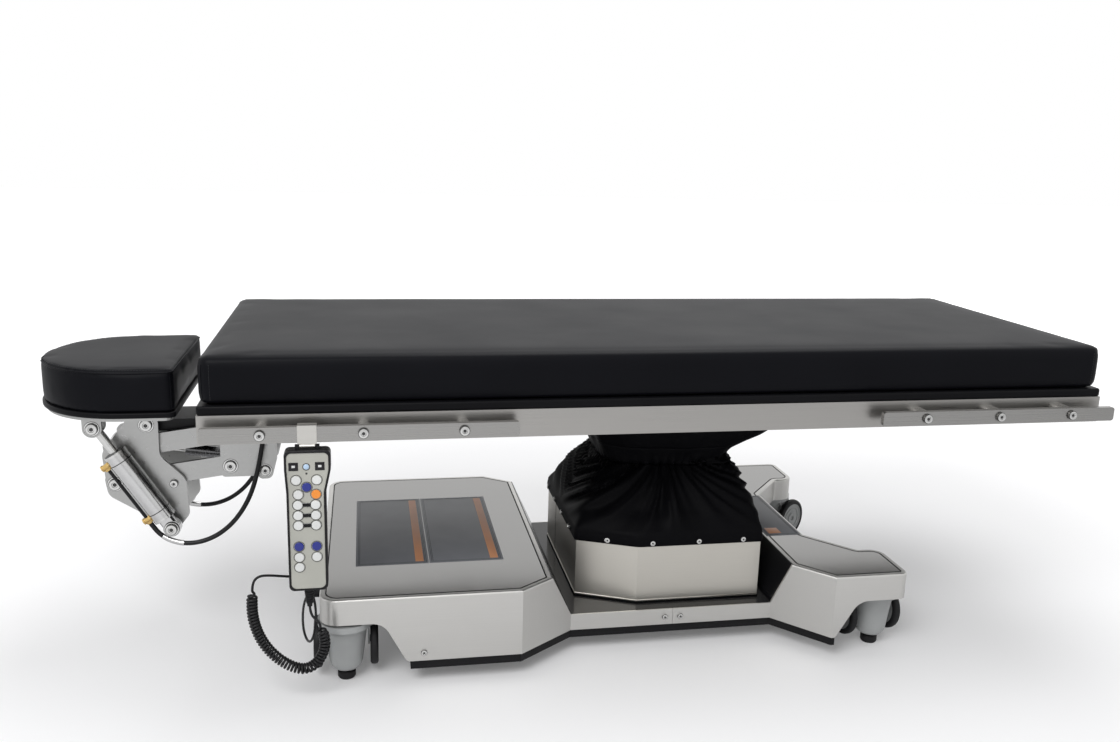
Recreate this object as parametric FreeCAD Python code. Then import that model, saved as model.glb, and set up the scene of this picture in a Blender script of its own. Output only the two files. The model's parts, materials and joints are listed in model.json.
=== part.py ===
import FreeCAD, Part
import math
import os

# Operating table: a wheeled base, a telescopic column under a cloth shroud, a tilting top with
# a mattress, and a hinged head section on lifting links. Millimetres, +Z up, +X to the foot end.
# The origin is on the floor, under the middle of the table.

# Table top
TOP_HEAD = -657.0
TOP_FOOT = 954.0
TOP_WIDTH = 600.0
FRAME_BOTTOM = 440.0
FRAME_HEIGHT = 48.0
FRAME_BAR = 30.0
FRAME_WALL = 3.0
COLUMN_BARS = 150.0
FOOT_BAR = 560.0
BOARD_THICK = 15.0
BOARD_EDGE = 3.5
BOARD_CORNER = 6.0
MATTRESS_CORNER = 20.0
MATTRESS_THICK = 78.0
MATTRESS_EDGE = 22.0
SOFT_GAP = 0.3
FIT = 0.3
RUNNING = 0.05
BEYOND = 1200.0

# Accessory rails
RAIL_HEIGHT = 25.3
RAIL_THICK = 10.0
RAIL_STANDOFF = 22.0
RAIL_BOTTOM = 450.3
RAIL_SPANS = [(-650.0, -145.0), (502.0, 962.0)]
RAIL_BOLTS = [(-558.0, -397.5, -236.0), (586.0, 730.0, 874.5)]
SPACER_RADIUS = 12.4
BOLT_RADIUS = 7.0
BOLT_HEAD = 4.0

# Base
BASE_HEAD = -476.0
BASE_HALF = 308.0
ARM_FLARE = 18.0
BASE_CORNER = 33.0
BASE_TOP = 164.0
BASE_HEM = 44.0
SHEET = 2.5
PAD_TAPER = -130.0
PAD_EDGE = -70.0
WAIST_HEAD = -28.0
WAIST_FOOT = 361.5
WAIST_HALF = 232.0
SEAM = 167.5
SEAM_GAP = 0.5
SEAM_SCREW = 15.0
COVER_SCREW = (-301.0, 59.0)
SCREW_RADIUS = 5.0
SCREW_HEAD = 1.5
FOOT_EDGE = 387.0
ARM_HALF = BASE_HALF + ARM_FLARE
ARM_START = 445.0
ARM_END = 590.0
ARM_CORNER = 16.0
ARM_INNER = 207.0
ARM_NOSE = 46.0
NOSE_CORNER = 28.0
FORK_INNER = 470.0
FORK_HALF = 120.0
DECK = 75.0
DECK_SHEET = 2.0
INLAY_INSET = 9.0
INLAY_DEPTH = 1.5
INLAY_GAP = 1.0
ARCH_HEAD = 118.0
ARCH_FOOT = 114.0
ARCH_REACH = [106.0, 147.0]

# Chassis
TRAY_BOTTOM = 28.0
TRAY_THICK = 6.0
RIM_TOP = 60.0
PLATFORM_BOTTOM = 118.0
PLATFORM_THICK = 8.0
WEB_INSET = 48.0
WELL_HEAD = BASE_HEAD + 152.0
WELL_FOOT = ARM_END - 137.0

# Floor feet and casters
FOOT_INSET = 43.0
ARM_FOOT_INSET = 35.0
FOOT_HEAD_X = BASE_HEAD + FOOT_INSET
FOOT_FOOT_X = ARM_END - ARM_FOOT_INSET
FOOT_Y = BASE_HALF - 45.0
CUP_RADIUS = 36.0
CUP_WAIST = 28.5
CUP_BOTTOM = 21.0
NECK_RADIUS = 22.0
PLUNGER_RADIUS = 12.0
PLUNGER_TOP = 86.0
PAD_RADIUS = 15.5
PAD_HEIGHT = 14.0
WHEEL_RADIUS = 45.0
WHEEL_WIDTH = 14.0
WHEEL_LIFT = 12.0
WHEEL_ROOM = 1.0
CASTER_TRAIL = 25.0
FORK_RADIUS = 47.5
COLLAR_RADIUS = 30.0
FORK_ARM = 3.4
STUB_RADIUS = 6.0
CUP_TOP = WHEEL_LIFT + 2 * WHEEL_RADIUS + WHEEL_ROOM - FIT
CASTER_TURNS = {"head_near": 90.0, "head_far": 78.0, "foot_near": 98.0, "foot_far": 32.0}

# Column
COLUMN_X = 170.0
CASING_HEAD = -5.0
CASING_TAPER = 104.0
CASING_FOOT = 346.0
CASING_HALF = 199.0
CASING_SIDE = 150.0
CASING_TOP = 204.0
CASING_SHEET = 2.0
MAST_OUTER = 150.0
MAST_WALL = 9.7
MAST_SLIP = 0.3
MAST_OUTER_TOP = 300.0
MAST_TOP = 330.0
STAGE_STEP = 5.0
RAM_RADIUS = 14.0
RAM_WALL = 6.0
SADDLE_THICK = 15.0
SADDLE_SIZE = 150.0
SADDLE_EAR = 40.0
GIMBAL_Z = 392.0
TRUNNION = 15.0
BLOCK_HALF_X = 48.0
BLOCK_HALF_Y = 57.5
BLOCK_HALF_Z = 20.0
CHEEK = 12.0
HANGER_HALF = 35.0
MOUNT_THICK = 6.0
MOUNT_SIZE = (160.0, 180.0)

# Shroud
HEM_BOTTOM = 188.0
HEM_OUT = 1.0
GATHER_Z = 322.0
CLOTH = 2.5
GATHER_RING = (62.0, 300.0, 118.0)
BELLY_RING = (240.0, 8.0, 352.0, 186.0)
SHOULDER_RING = (285.0, 28.0, 330.0, 152.0)
NECK_RING = (372.0, 40.0, 372.0, 146.0)
FLARE_RING = (15.0, 425.0, 172.0)
STUD_RADIUS = 4.4
STUD_HEAD = 2.0
FRONT_STUDS = [130.0, 220.5, 308.5]
SIDE_STUDS = [-100.0, -24.0, 52.0, 128.0]

# Head section
HEAD_RIGHT = -712.0
HEAD_TIP = -961.0
HEAD_HALF = 162.0
HEAD_TOP = 531.0
HEAD_PAD_BOTTOM = 457.4
HEAD_BOARD = 10.0
HEAD_PLATE = 6.0
HEAD_INSET = 7.0
HEAD_CORNER = 14.0
HEAD_HINGE = (-780.3, 409.4)
HINGE_LUG = 11.0
CLEVIS_PIN = (-861.7, 415.4)
CLEVIS_LUG = 16.0
CARRIER_LOW = (-838.9, 300.7)
LINK_RISE = 62.0
BRACKET_LOW = (-638.6, 328.4)
CYLINDER_EYE = (-741.1, 222.9)
SPARE_BOLT = (-738.4, 298.5)
STRUT_PIN = (-577.4, 318.2)
CARRIER_SHAPE = [(-813.7, 420.0, 8.0), (-759.8, 420.0, 8.0), (-761.0, 352.0, 26.0), (-717.8, 307.0, 22.0),
                 (-714.3, 238.0, 14.0), (-748.0, 194.0, 14.0), (-772.0, 228.0), (-852.0, 280.0, 22.0),
                 (-858.0, 360.0, 24.0)]
CARRIER_BAR = (-822.0, -804.0, 397.0, 409.0)
BUMPER = (136.0, 44.0, 392.0, 414.0)
BRACKET_SHAPE = [(-655.5, 308.0, 8.0), (-590.0, 308.0, 10.0), (-586.0, 302.0, 8.0), (-566.0, 302.0, 12.0),
                 (-556.0, 340.0, 10.0)]
PLATE_Y = 64.0
PLATE_THICK = 6.0
LINK_THICK = 8.0
LINK_WIDTH = 36.0
CYLINDER_Y = 88.0
BARREL_RADIUS = 20.0
BARREL_WALL = 4.0
BARREL_START = 22.0
BARREL_END = 170.0
TAIL_RADIUS = 14.0
CLEVIS_HALF = 10.0
ROD_RADIUS = 8.0
PISTON_AT = 100.0
LINK_PIN = 8.0
PIVOT_PLAY = 3.0
STRUT_RADIUS = 11.0
STRUT_ROD = 6.0
HEAD_BOLT = 9.0
FITTING_RADIUS = 4.5
FITTING_REACH = 27.0
FITTING_FOOT = 36.0
FITTING_HEAD = 156.0
HOSE_DIAMETER = 7.0
PIPE_RADIUS = 2.5

# Power pack
PUMP = (-300.0, -180.0, -110.0, 20.0, 130.0)
MOTOR = (38.0, -45.0, -70.0)
BATTERY = (-300.0, -150.0, 40.0, 80.0, 140.0, 5.0)

# Handset
SET_X = -485.5
SET_FRONT = -(TOP_WIDTH / 2 + RAIL_STANDOFF + RAIL_THICK + 14.0)
SET_DEPTH = 26.0
SET_TOP = 440.0
SET_BOTTOM = 203.0
SET_TOP_WIDTH = 72.0
SET_WIDTH = 61.5
SET_WAIST = 370.0
SET_WALL = 2.0
FACE_INSET = 3.5
FACE_THICK = 2.5
KEY_RADIUS = 7.3
KEY_PLAY = 0.25
KEY_PROUD = 2.2
KEY_TRAVEL = 1.0
KEY_SPOTS = {
    "key_white_1": (-503.5, 391.7), "key_white_2": (-471.6, 391.7), "key_blue_1": (-487.4, 379.9),
    "key_white_3": (-500.8, 367.7), "key_orange": (-473.2, 367.7), "key_blue_2": (-501.8, 279.7),
    "key_blue_3": (-474.2, 279.7), "key_white_4": (-501.8, 261.3), "key_white_5": (-474.2, 261.3),
    "key_white_6": (-501.8, 244.3)}
ROCKER_SPOTS = {"rocker_1": (-501.8, -474.2, 350.2), "rocker_2": (-501.8, -474.2, 332.6),
                "rocker_3": (-501.8, -474.2, 315.6)}
ROCKER_SLACK = 0.9
ROCKER_PIN = 1.2
ROCKER_PIN_BACK = 4.0
HOOK_WIDTH = 30.0
HOOK_SHEET = 2.5
HOOK_PIVOT_Y = SET_FRONT + 12.5
HOOK_PIVOT_Z = SET_TOP + 4.6
HOOK_PLAY = 3.6
RELIEF_LENGTH = 33.0
WIRE = 4.2
COIL = 19.0

# Cord and hose routes, as points, drawn with the handset's front at SET_FRONT_DRAWN
SET_FRONT_DRAWN = -346.0
SOCKET_RADIUS = 9.0
SOCKET_LENGTH = 14.0
LEAD_ROUTE = [(-488.5, -333, 170.2), (-488.3, -333, 162), (-484.5, -334.5, 151), (-475.6, -337.7, 144.8),
              (-473.1, -338, 138.3)]
COIL_ROUTE = [(-473.0, -338, 138), (-464.5, -339, 116), (-467.0, -340, 90), (-480.0, -340, 69),
              (-498.0, -340, 60), (-519.0, -340, 66), (-541.0, -340, 82), (-560.0, -340, 105),
              (-573.0, -340, 133), (-579.0, -340, 162), (-579.0, -340, 186), (-577.5, -340, 208)]
TAIL_ROUTE = [(-577.45, -340, 208.3), (-576.5, -339, 221), (-566.0, -336, 229), (-549.0, -330, 226),
              (-531.0, -322, 220), (-512.0, -315, 215), (-496.0, -313, 204), (-486.0, -314, 187),
              (-481.0, -316, 166), (-480.0, -317, 145), (-482.0, -316, 122), (-486.0, -310, 101),
              (-492.0, -297, 86), (-499.0, -279, 82), (-505.0, -260, 91), (-507.0, -244, 108),
              (-505.0, -231, 126), (-499.5, -221, 138), (-491.0, -218, 140.8)]
HOSE_NEAR = [(-780.0, -88, 234.0), (-774.7, -88, 225.6), (-764.0, -92, 212.5), (-745.0, -97, 201.0),
             (-720.0, -100, 194.5), (-692.0, -100, 196.0), (-663.0, -99, 207.0), (-637.0, -97, 227.0),
             (-616.0, -94, 254.0), (-600.0, -91, 286.0), (-590.0, -88, 320.0), (-583.0, -86, 353.0),
             (-577.0, -84, 386.0), (-573.0, -82, 415.0), (-572.4, -82, 439.9)]


def vec(x, y, z):
    return FreeCAD.Vector(x, y, z)


def box(x0, x1, y0, y1, z0, z1):
    return Part.makeBox(x1 - x0, y1 - y0, z1 - z0, vec(x0, y0, z0))


def bar(radius, start, end):
    direction = vec(*end).sub(vec(*start))
    return Part.makeCylinder(radius, direction.Length, vec(*start), direction)


def washer(outer, inner, start, end):
    return bar(outer, start, end).cut(bar(inner, start, end))


def outline(points, place):
    """A closed outline. Each point is (a, b) or (a, b, radius), and place sets it in space."""
    count = len(points)
    corners = [place(p[0], p[1]) for p in points]
    legs = []
    for i, point in enumerate(points):
        here = corners[i]
        back = corners[i - 1].sub(here)
        ahead = corners[(i + 1) % count].sub(here)
        radius = point[2] if len(point) > 2 else 0.0
        if not radius:
            legs.append((here, None, here))
            continue
        half = back.getAngle(ahead) / 2
        reach = radius / math.tan(half)
        back.normalize()
        ahead.normalize()
        middle = (back + ahead)
        middle.normalize()
        top = here + middle * (radius / math.sin(half) - radius)
        legs.append((here + back * reach, top, here + ahead * reach))
    edges = []
    for i, (start, top, end) in enumerate(legs):
        if top is not None:
            edges.append(Part.Arc(start, top, end).toShape())
        following = legs[(i + 1) % count][0]
        if end.distanceToPoint(following) > 1e-6:
            edges.append(Part.LineSegment(end, following).toShape())
    return Part.Wire(edges)


def slab(points, z0, z1, inset=0.0):
    """A plan outline raised from z0 to z1, drawn in by inset."""
    face = Part.Face(outline(points, lambda a, b: vec(a, b, z0)))
    if inset:
        face = face.makeOffset2D(-inset)
    return face.extrude(vec(0, 0, z1 - z0))


def plate(points, y0, y1):
    """A side outline in X and Z, from y0 to y1."""
    face = Part.Face(outline(points, lambda a, b: vec(a, y0, b)))
    return face.extrude(vec(0, y1 - y0, 0))


def far(shape):
    return shape.mirror(vec(0, 0, 0), vec(0, 1, 0))


def pair(shape):
    return [shape, far(shape)]


def fused(shapes):
    return shapes[0].multiFuse(shapes[1:]).removeSplitter()


def turned(shape, angle, centre):
    copy = shape.copy()
    copy.rotate(vec(*centre), vec(0, 0, 1), angle)
    return copy


def save(node, shapes):
    shape = Part.makeCompound(shapes) if len(shapes) > 1 else shapes[0]
    shape.exportStep("parts/" + node + ".step")
    print(node, len(shape.Solids), "solids", round(shape.Volume / 1000.0, 1), "cm3")


def route(node, points, diameter):
    """A round tube along straight runs joined by tangent arcs, as wide as the runs allow."""
    spots = [vec(*p) for p in points]
    edges = []
    start = spots[0]
    radii = []
    for before, here, after in zip(spots, spots[1:], spots[2:]):
        back = before.sub(here)
        ahead = after.sub(here)
        shorter = min(back.Length, ahead.Length)
        half_turn = (math.pi - back.getAngle(ahead)) / 2
        radius = 0.45 * shorter / math.tan(half_turn)
        reach = 0.45 * shorter
        back.normalize()
        ahead.normalize()
        middle = back + ahead
        middle.normalize()
        top = here + middle * (radius / math.cos(half_turn) - radius)
        edges.append(Part.LineSegment(start, here + back * reach).toShape())
        edges.append(Part.Arc(here + back * reach, top, here + ahead * reach).toShape())
        start = here + ahead * reach
        radii.append(round(radius))
    edges.append(Part.LineSegment(start, spots[-1]).toShape())
    path = Part.Wire(edges)
    first = spots[1].sub(spots[0])
    circle = Part.Circle(spots[0], first, diameter / 2)
    tube = path.makePipeShell([Part.Wire([circle.toShape()])], True, False)
    ideal = math.pi * diameter ** 2 / 4 * path.Length
    print(node, "length", round(path.Length), "radii", radii, "volume ratio", round(tube.Volume / ideal, 4))
    return tube


# Outlines of the base

def base_head_outline(past=0.0):
    near = [(BASE_HEAD, -BASE_HALF, BASE_CORNER), (PAD_TAPER, -BASE_HALF), (WAIST_HEAD, -WAIST_HALF)]
    seam = SEAM - SEAM_GAP / 2 + past
    return near + [(seam, -WAIST_HALF), (seam, WAIST_HALF)] + [
        (p[0], -p[1], *p[2:]) for p in reversed(near)]


def base_foot_outline(past=0.0):
    seam = SEAM + SEAM_GAP / 2 - past
    near = [(seam, -WAIST_HALF), (WAIST_FOOT, -WAIST_HALF), (ARM_START, -ARM_HALF),
            (ARM_END, -ARM_HALF, ARM_CORNER), (ARM_END, -ARM_INNER, NOSE_CORNER),
            (ARM_END - ARM_NOSE, -ARM_INNER, 10.0), (FORK_INNER, -FORK_HALF)]
    return near + [(p[0], -p[1], *p[2:]) for p in reversed(near)]


def valley(drop):
    """The space above the waist, between the two sloping walls, lowered by drop."""
    high = BASE_TOP + 10
    head_run = (WAIST_HEAD - PAD_EDGE) / (BASE_TOP - DECK)
    foot_run = (FOOT_EDGE - WAIST_FOOT) / (BASE_TOP - DECK)
    side = [(PAD_EDGE - drop - head_run * 10, high), (WAIST_HEAD - drop, DECK - drop),
            (WAIST_FOOT + drop, DECK - drop), (FOOT_EDGE + drop + foot_run * 10, high)]
    return plate(side, -BEYOND, BEYOND)


def arch_head():
    side = [(BASE_HEAD - 20, 0), (BASE_HEAD - 20, ARCH_HEAD), (BASE_HEAD + ARCH_REACH[0], ARCH_HEAD, 32.0),
            (BASE_HEAD + ARCH_REACH[1], BASE_HEM - 2, 18.0), (WELL_HEAD, BASE_HEM - 2), (WELL_HEAD, 0)]
    return plate(side, -BEYOND, BEYOND)


def arch_foot():
    side = [(ARM_END + 20, 0), (ARM_END + 20, ARCH_FOOT), (ARM_END - 96, ARCH_FOOT, 34.0),
            (ARM_END - 139, BASE_HEM - 2, 14.0), (WELL_FOOT - 6, BASE_HEM - 2), (WELL_FOOT - 6, 0)]
    near = plate(side, -BEYOND, -FORK_HALF - 5)
    return near.fuse(far(near))


def base_cover(points, inside, arch, inlay_side):
    """One half of the base's sheet cover. The inside outline runs past the seam, where it is open."""
    body = slab(points, BASE_HEM, BASE_TOP)
    rim = [e for e in body.Edges if e.BoundBox.ZMin > BASE_TOP - 0.1]
    body = body.makeFillet(SHEET + 1, rim)
    body = body.cut(valley(0))
    pocket = slab(inside, BASE_HEM, BASE_TOP + 5, SHEET)
    body = body.cut(pocket.common(valley(DECK_SHEET)))
    well = slab(inlay_side, BASE_TOP - INLAY_DEPTH, BASE_TOP + 5, INLAY_INSET)
    body = body.cut(well)
    hollow = slab(inside, BASE_HEM - 10, BASE_TOP - SHEET - INLAY_DEPTH, SHEET)
    body = body.cut(hollow.cut(valley(DECK_SHEET + SHEET)))
    body = body.cut(arch)
    return body.cut(column_hole())


def column_hole():
    half = CASING_SIDE - 10
    return box(CASING_HEAD + 15, CASING_FOOT - 15, -half, half, BASE_HEM - 20, DECK + 20)


def pad_outline():
    near = [(BASE_HEAD, -BASE_HALF, BASE_CORNER), (PAD_TAPER, -BASE_HALF)]
    edge_half = BASE_HALF - (BASE_HALF - WAIST_HALF) * (PAD_EDGE - PAD_TAPER) / (WAIST_HEAD - PAD_TAPER)
    near.append((PAD_EDGE, -edge_half))
    return near + [(p[0], -p[1], *p[2:]) for p in reversed(near)]


def fork_outline():
    edge_half = WAIST_HALF + (ARM_HALF - WAIST_HALF) * (FOOT_EDGE - WAIST_FOOT) / (ARM_START - WAIST_FOOT)
    near = [(FOOT_EDGE, -edge_half)] + base_foot_outline()[2:7]
    return near + [(p[0], -p[1], *p[2:]) for p in reversed(near)]


def base():
    head = base_head_outline()
    foot = base_foot_outline()
    past = 4 * SHEET
    save("base_cover_head", [base_cover(head, base_head_outline(past), arch_head(), pad_outline())])
    save("base_cover_foot", [base_cover(foot, base_foot_outline(past), arch_foot(), fork_outline())])
    inset = INLAY_INSET + INLAY_GAP
    sides = (pad_outline(), fork_outline())
    inlays = [slab(side, BASE_TOP - INLAY_DEPTH, BASE_TOP, inset) for side in sides]
    save("inlay_plates", inlays)
    whole = head[:3] + foot[1:-1] + head[-3:]
    panel = slab(whole, BASE_HEM, BASE_TOP, SHEET + FIT).common(valley(DECK_SHEET))
    panel = panel.cut(valley(0)).cut(column_hole())
    save("deck_panel", [panel])
    chassis(whole)


def chassis(whole):
    inset = SHEET + FIT
    tray = slab(whole, TRAY_BOTTOM, TRAY_BOTTOM + TRAY_THICK, inset)
    rim = slab(whole, TRAY_BOTTOM, RIM_TOP, inset).cut(slab(whole, 0, RIM_TOP + 1, inset + TRAY_THICK))
    keep = box(WELL_HEAD, WELL_FOOT, -BEYOND, BEYOND, 0, RIM_TOP + 1)
    lower = tray.fuse(rim).common(keep)
    top = PLATFORM_BOTTOM + PLATFORM_THICK
    web_half = BASE_HALF - WEB_INSET
    webs = [box(WELL_HEAD, WELL_HEAD + TRAY_THICK, -web_half, web_half, TRAY_BOTTOM, top)]
    for near in (-1, 1):
        low, high = sorted((near * FORK_HALF, near * (ARM_HALF - 20)))
        webs.append(box(WELL_FOOT - TRAY_THICK, WELL_FOOT, low, high, TRAY_BOTTOM, top))
    side = slab(whole, PLATFORM_BOTTOM, top, inset)
    decks = [side.common(box(-BEYOND, WELL_HEAD + TRAY_THICK, -BEYOND, BEYOND, 0, top))]
    arms = side.common(box(WELL_FOOT - TRAY_THICK, ARM_END, -BEYOND, BEYOND, 0, top))
    decks.append(arms.cut(box(WELL_FOOT - BEYOND / 4, FORK_INNER, -FORK_HALF, FORK_HALF, 0, top)))
    save("chassis", [fused([lower] + webs + decks)])


def base_fasteners():
    screws = []
    for x, z in [COVER_SCREW, (SEAM - SEAM_SCREW, COVER_SCREW[1]), (SEAM + SEAM_SCREW, COVER_SCREW[1])]:
        half = BASE_HALF if x < PAD_TAPER else WAIST_HALF
        screws += pair(bar(SCREW_RADIUS, (x, -half, z), (x, -half - SCREW_HEAD, z)))
    hem = HEM_BOTTOM + 8
    half = CASING_HALF + HEM_OUT + CLOTH
    side = CASING_HEAD - HEM_OUT - CLOTH
    for x in FRONT_STUDS:
        screws += pair(bar(STUD_RADIUS, (x, -half, hem), (x, -half - STUD_HEAD, hem)))
    angle = math.atan2(CASING_HALF - CASING_SIDE, CASING_TAPER - CASING_HEAD)
    out = vec(-math.sin(angle), -math.cos(angle), 0)
    middle = vec((CASING_HEAD + CASING_TAPER) / 2, -(CASING_HALF + CASING_SIDE) / 2, hem)
    start = middle + out * (HEM_OUT + CLOTH)
    end = start + out * STUD_HEAD
    screws += pair(bar(STUD_RADIUS, (start.x, start.y, hem), (end.x, end.y, hem)))
    for y in SIDE_STUDS:
        screws.append(bar(STUD_RADIUS, (side, y, hem), (side - STUD_HEAD, y, hem)))
    save("cover_screws", screws)


# Floor feet and casters

def corners():
    return {"head_near": (FOOT_HEAD_X, -FOOT_Y), "head_far": (FOOT_HEAD_X, FOOT_Y),
            "foot_near": (FOOT_FOOT_X, -FOOT_Y), "foot_far": (FOOT_FOOT_X, FOOT_Y)}


def lathe(points, centre):
    wire = Part.makePolygon([vec(centre[0] + r, centre[1], z) for r, z in points + points[:1]])
    return Part.Face(wire).revolve(vec(centre[0], centre[1], 0), vec(0, 0, 1), 360)


def cup(centre):
    bore = PLUNGER_RADIUS + RUNNING
    skin = [(bore, PLATFORM_BOTTOM), (bore, 42), (PAD_RADIUS + 2, 42),
            (PAD_RADIUS + 2, CUP_BOTTOM), (CUP_WAIST - 7, CUP_BOTTOM), (CUP_WAIST - 2.5, 25.5),
            (CUP_WAIST, 33), (CUP_RADIUS, 92), (CUP_RADIUS, CUP_TOP), (NECK_RADIUS, CUP_TOP),
            (NECK_RADIUS, ARCH_FOOT), (COLLAR_RADIUS, ARCH_FOOT), (COLLAR_RADIUS, PLATFORM_BOTTOM)]
    return lathe(skin, centre)


def foot(centre):
    skin = [(0, 0), (PAD_RADIUS - 2, 0), (PAD_RADIUS, 3), (PAD_RADIUS, PAD_HEIGHT - 2),
            (PAD_RADIUS - 2, PAD_HEIGHT), (9, PAD_HEIGHT + 2), (9, 30), (PLUNGER_RADIUS, 34),
            (PLUNGER_RADIUS, PLUNGER_TOP), (0, PLUNGER_TOP)]
    return lathe(skin, centre)


def caster(name, centre):
    x, y = centre
    axle_z = WHEEL_LIFT + WHEEL_RADIUS
    arm_in = CUP_RADIUS + 1
    arm_out = arm_in + FORK_ARM
    low = CUP_TOP + FIT
    ring = washer(FORK_RADIUS, NECK_RADIUS + RUNNING, (x, y, low), (x, y, ARCH_FOOT - FIT))
    back = x + CASTER_TRAIL
    shapes = [ring]
    wheels = []
    for side in (-1, 1):
        inner = y + side * arm_in
        outer = y + side * arm_out
        lower, upper = sorted((inner, outer))
        arm = [(x - 15, low + 8), (back - 11, axle_z), (back - 8, axle_z - 9, 6.0),
               (back + 8, axle_z - 9, 6.0), (back + 11, axle_z), (x + 24, low + 8)]
        shapes.append(plate(arm, lower, upper))
        wheel_in = outer + side * 0.6
        wheel_out = wheel_in + side * WHEEL_WIDTH
        shapes.append(bar(STUB_RADIUS, (back, inner, axle_z), (back, wheel_out - side * 3, axle_z)))
        wheel = bar(WHEEL_RADIUS, (back, wheel_in, axle_z), (back, wheel_out, axle_z))
        rims = [e for e in wheel.Edges if e.Curve.TypeId == "Part::GeomCircle"]
        wheel = wheel.makeFillet(4.0, rims)
        dished = (back, wheel_out - side * 1.6, axle_z)
        dish = washer(WHEEL_RADIUS - 9, 13.0, dished, (back, wheel_out, axle_z))
        wheel = wheel.cut(dish)
        bore_end = (back, wheel_out - side * 2, axle_z)
        wheels.append(wheel.cut(bar(STUB_RADIUS + RUNNING, (back, inner, axle_z), bore_end)))
    angle = CASTER_TURNS[name]
    fork = fused(shapes)
    save("caster_fork_" + name, [turned(fork, angle, (x, y, 0))])
    save("caster_wheels_" + name, [turned(w, angle, (x, y, 0)) for w in wheels])


def ground():
    save("foot_cups", [cup(c) for c in corners().values()])
    save("floor_feet", [foot(c) for c in corners().values()])
    for name, centre in corners().items():
        caster(name, centre)


# Column

def square_tube(size, wall, z0, z1):
    half = size / 2
    inner = half - wall
    x = COLUMN_X
    tube = box(x - half, x + half, -half, half, z0, z1)
    return tube.cut(box(x - inner, x + inner, -inner, inner, z0 - 1, z1 + 1))


def casing_outline(out=0.0):
    run = math.hypot(CASING_TAPER - CASING_HEAD, CASING_HALF - CASING_SIDE)
    rise = (CASING_HALF - CASING_SIDE) / run
    slide = (CASING_TAPER - CASING_HEAD) / run
    side = CASING_SIDE + out * (1 - rise) / slide
    taper = CASING_TAPER - out * (1 - slide) / rise
    near = [(CASING_HEAD - out, -side), (taper, -CASING_HALF - out), (CASING_FOOT + out, -CASING_HALF - out)]
    return near + [(x, -y) for x, y in reversed(near)]


def column():
    wall = slab(casing_outline(), DECK, CASING_TOP)
    save("column_casing", [wall.cut(slab(casing_outline(-CASING_SHEET), DECK - 1, CASING_TOP + 1))])
    floor = TRAY_BOTTOM + TRAY_THICK
    middle = MAST_OUTER - 2 * MAST_WALL - 2 * MAST_SLIP
    inner = middle - 2 * (MAST_WALL - 1) - 2 * MAST_SLIP
    x = COLUMN_X
    sleeve = RAM_RADIUS + RAM_WALL
    outer_ram = washer(sleeve + RAM_WALL, sleeve + RUNNING, (x, 0, floor), (x, 0, MAST_OUTER_TOP))
    save("mast_outer", [square_tube(MAST_OUTER, MAST_WALL, floor, MAST_OUTER_TOP), outer_ram])
    low = floor + 2 * STAGE_STEP
    high = MAST_OUTER_TOP + STAGE_STEP
    stage = washer(sleeve, RAM_RADIUS + RUNNING, (x, 0, low), (x, 0, high))
    save("mast_middle", [square_tube(middle, MAST_WALL - 1, low, high), stage])
    low += STAGE_STEP
    ram = bar(RAM_RADIUS, (x, 0, low), (x, 0, MAST_TOP))
    saddle = saddle_block()
    save("mast_inner", [fused([square_tube(inner, 8.0, low, MAST_TOP), saddle]), ram])
    save("tilt_block", [tilt_block()])


def saddle_block():
    half = SADDLE_SIZE / 2
    x = COLUMN_X
    parts = [box(x - half, x + half, -half, half, MAST_TOP, MAST_TOP + SADDLE_THICK)]
    inner = BLOCK_HALF_Y + FIT
    for side in (-1, 1):
        lower, upper = sorted((side * inner, side * (inner + CHEEK)))
        ear = [(x - SADDLE_EAR, MAST_TOP + SADDLE_THICK - 1), (x + SADDLE_EAR, MAST_TOP + SADDLE_THICK - 1),
               (x + 20, GIMBAL_Z + 20, 15.0), (x - 20, GIMBAL_Z + 20, 15.0)]
        parts.append(plate(ear, lower, upper))
    saddle = fused(parts)
    return saddle.cut(bar(TRUNNION + RUNNING, (x, -100, GIMBAL_Z), (x, 100, GIMBAL_Z)))


def tilt_block():
    x = COLUMN_X
    block = box(x - BLOCK_HALF_X, x + BLOCK_HALF_X, -BLOCK_HALF_Y, BLOCK_HALF_Y,
                GIMBAL_Z - BLOCK_HALF_Z, GIMBAL_Z + BLOCK_HALF_Z)
    reach_y = BLOCK_HALF_Y + FIT + CHEEK
    reach_x = BLOCK_HALF_X + FIT + CHEEK
    across = bar(TRUNNION, (x, -reach_y, GIMBAL_Z), (x, reach_y, GIMBAL_Z))
    along = bar(TRUNNION, (x - reach_x, 0, GIMBAL_Z), (x + reach_x, 0, GIMBAL_Z))
    return fused([block, across, along])


def hangers():
    x = COLUMN_X
    half_x, half_y = MOUNT_SIZE[0] / 2, MOUNT_SIZE[1] / 2
    shapes = [box(x - half_x, x + half_x, -half_y, half_y, FRAME_BOTTOM - MOUNT_THICK, FRAME_BOTTOM)]
    for side in (-1, 1):
        start = x + side * (BLOCK_HALF_X + FIT)
        low, high = sorted((start, start + side * CHEEK))
        top = FRAME_BOTTOM - MOUNT_THICK
        ear = outline([(-HANGER_HALF, top), (HANGER_HALF, top), (20, GIMBAL_Z - 20, 15.0),
                       (-20, GIMBAL_Z - 20, 15.0)], lambda a, b: vec(low, a, b))
        shapes.append(Part.Face(ear).extrude(vec(high - low, 0, 0)))
    block = fused(shapes)
    return block.cut(bar(TRUNNION + RUNNING, (x - 100, 0, GIMBAL_Z), (x + 100, 0, GIMBAL_Z)))


# Cloth shroud

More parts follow.
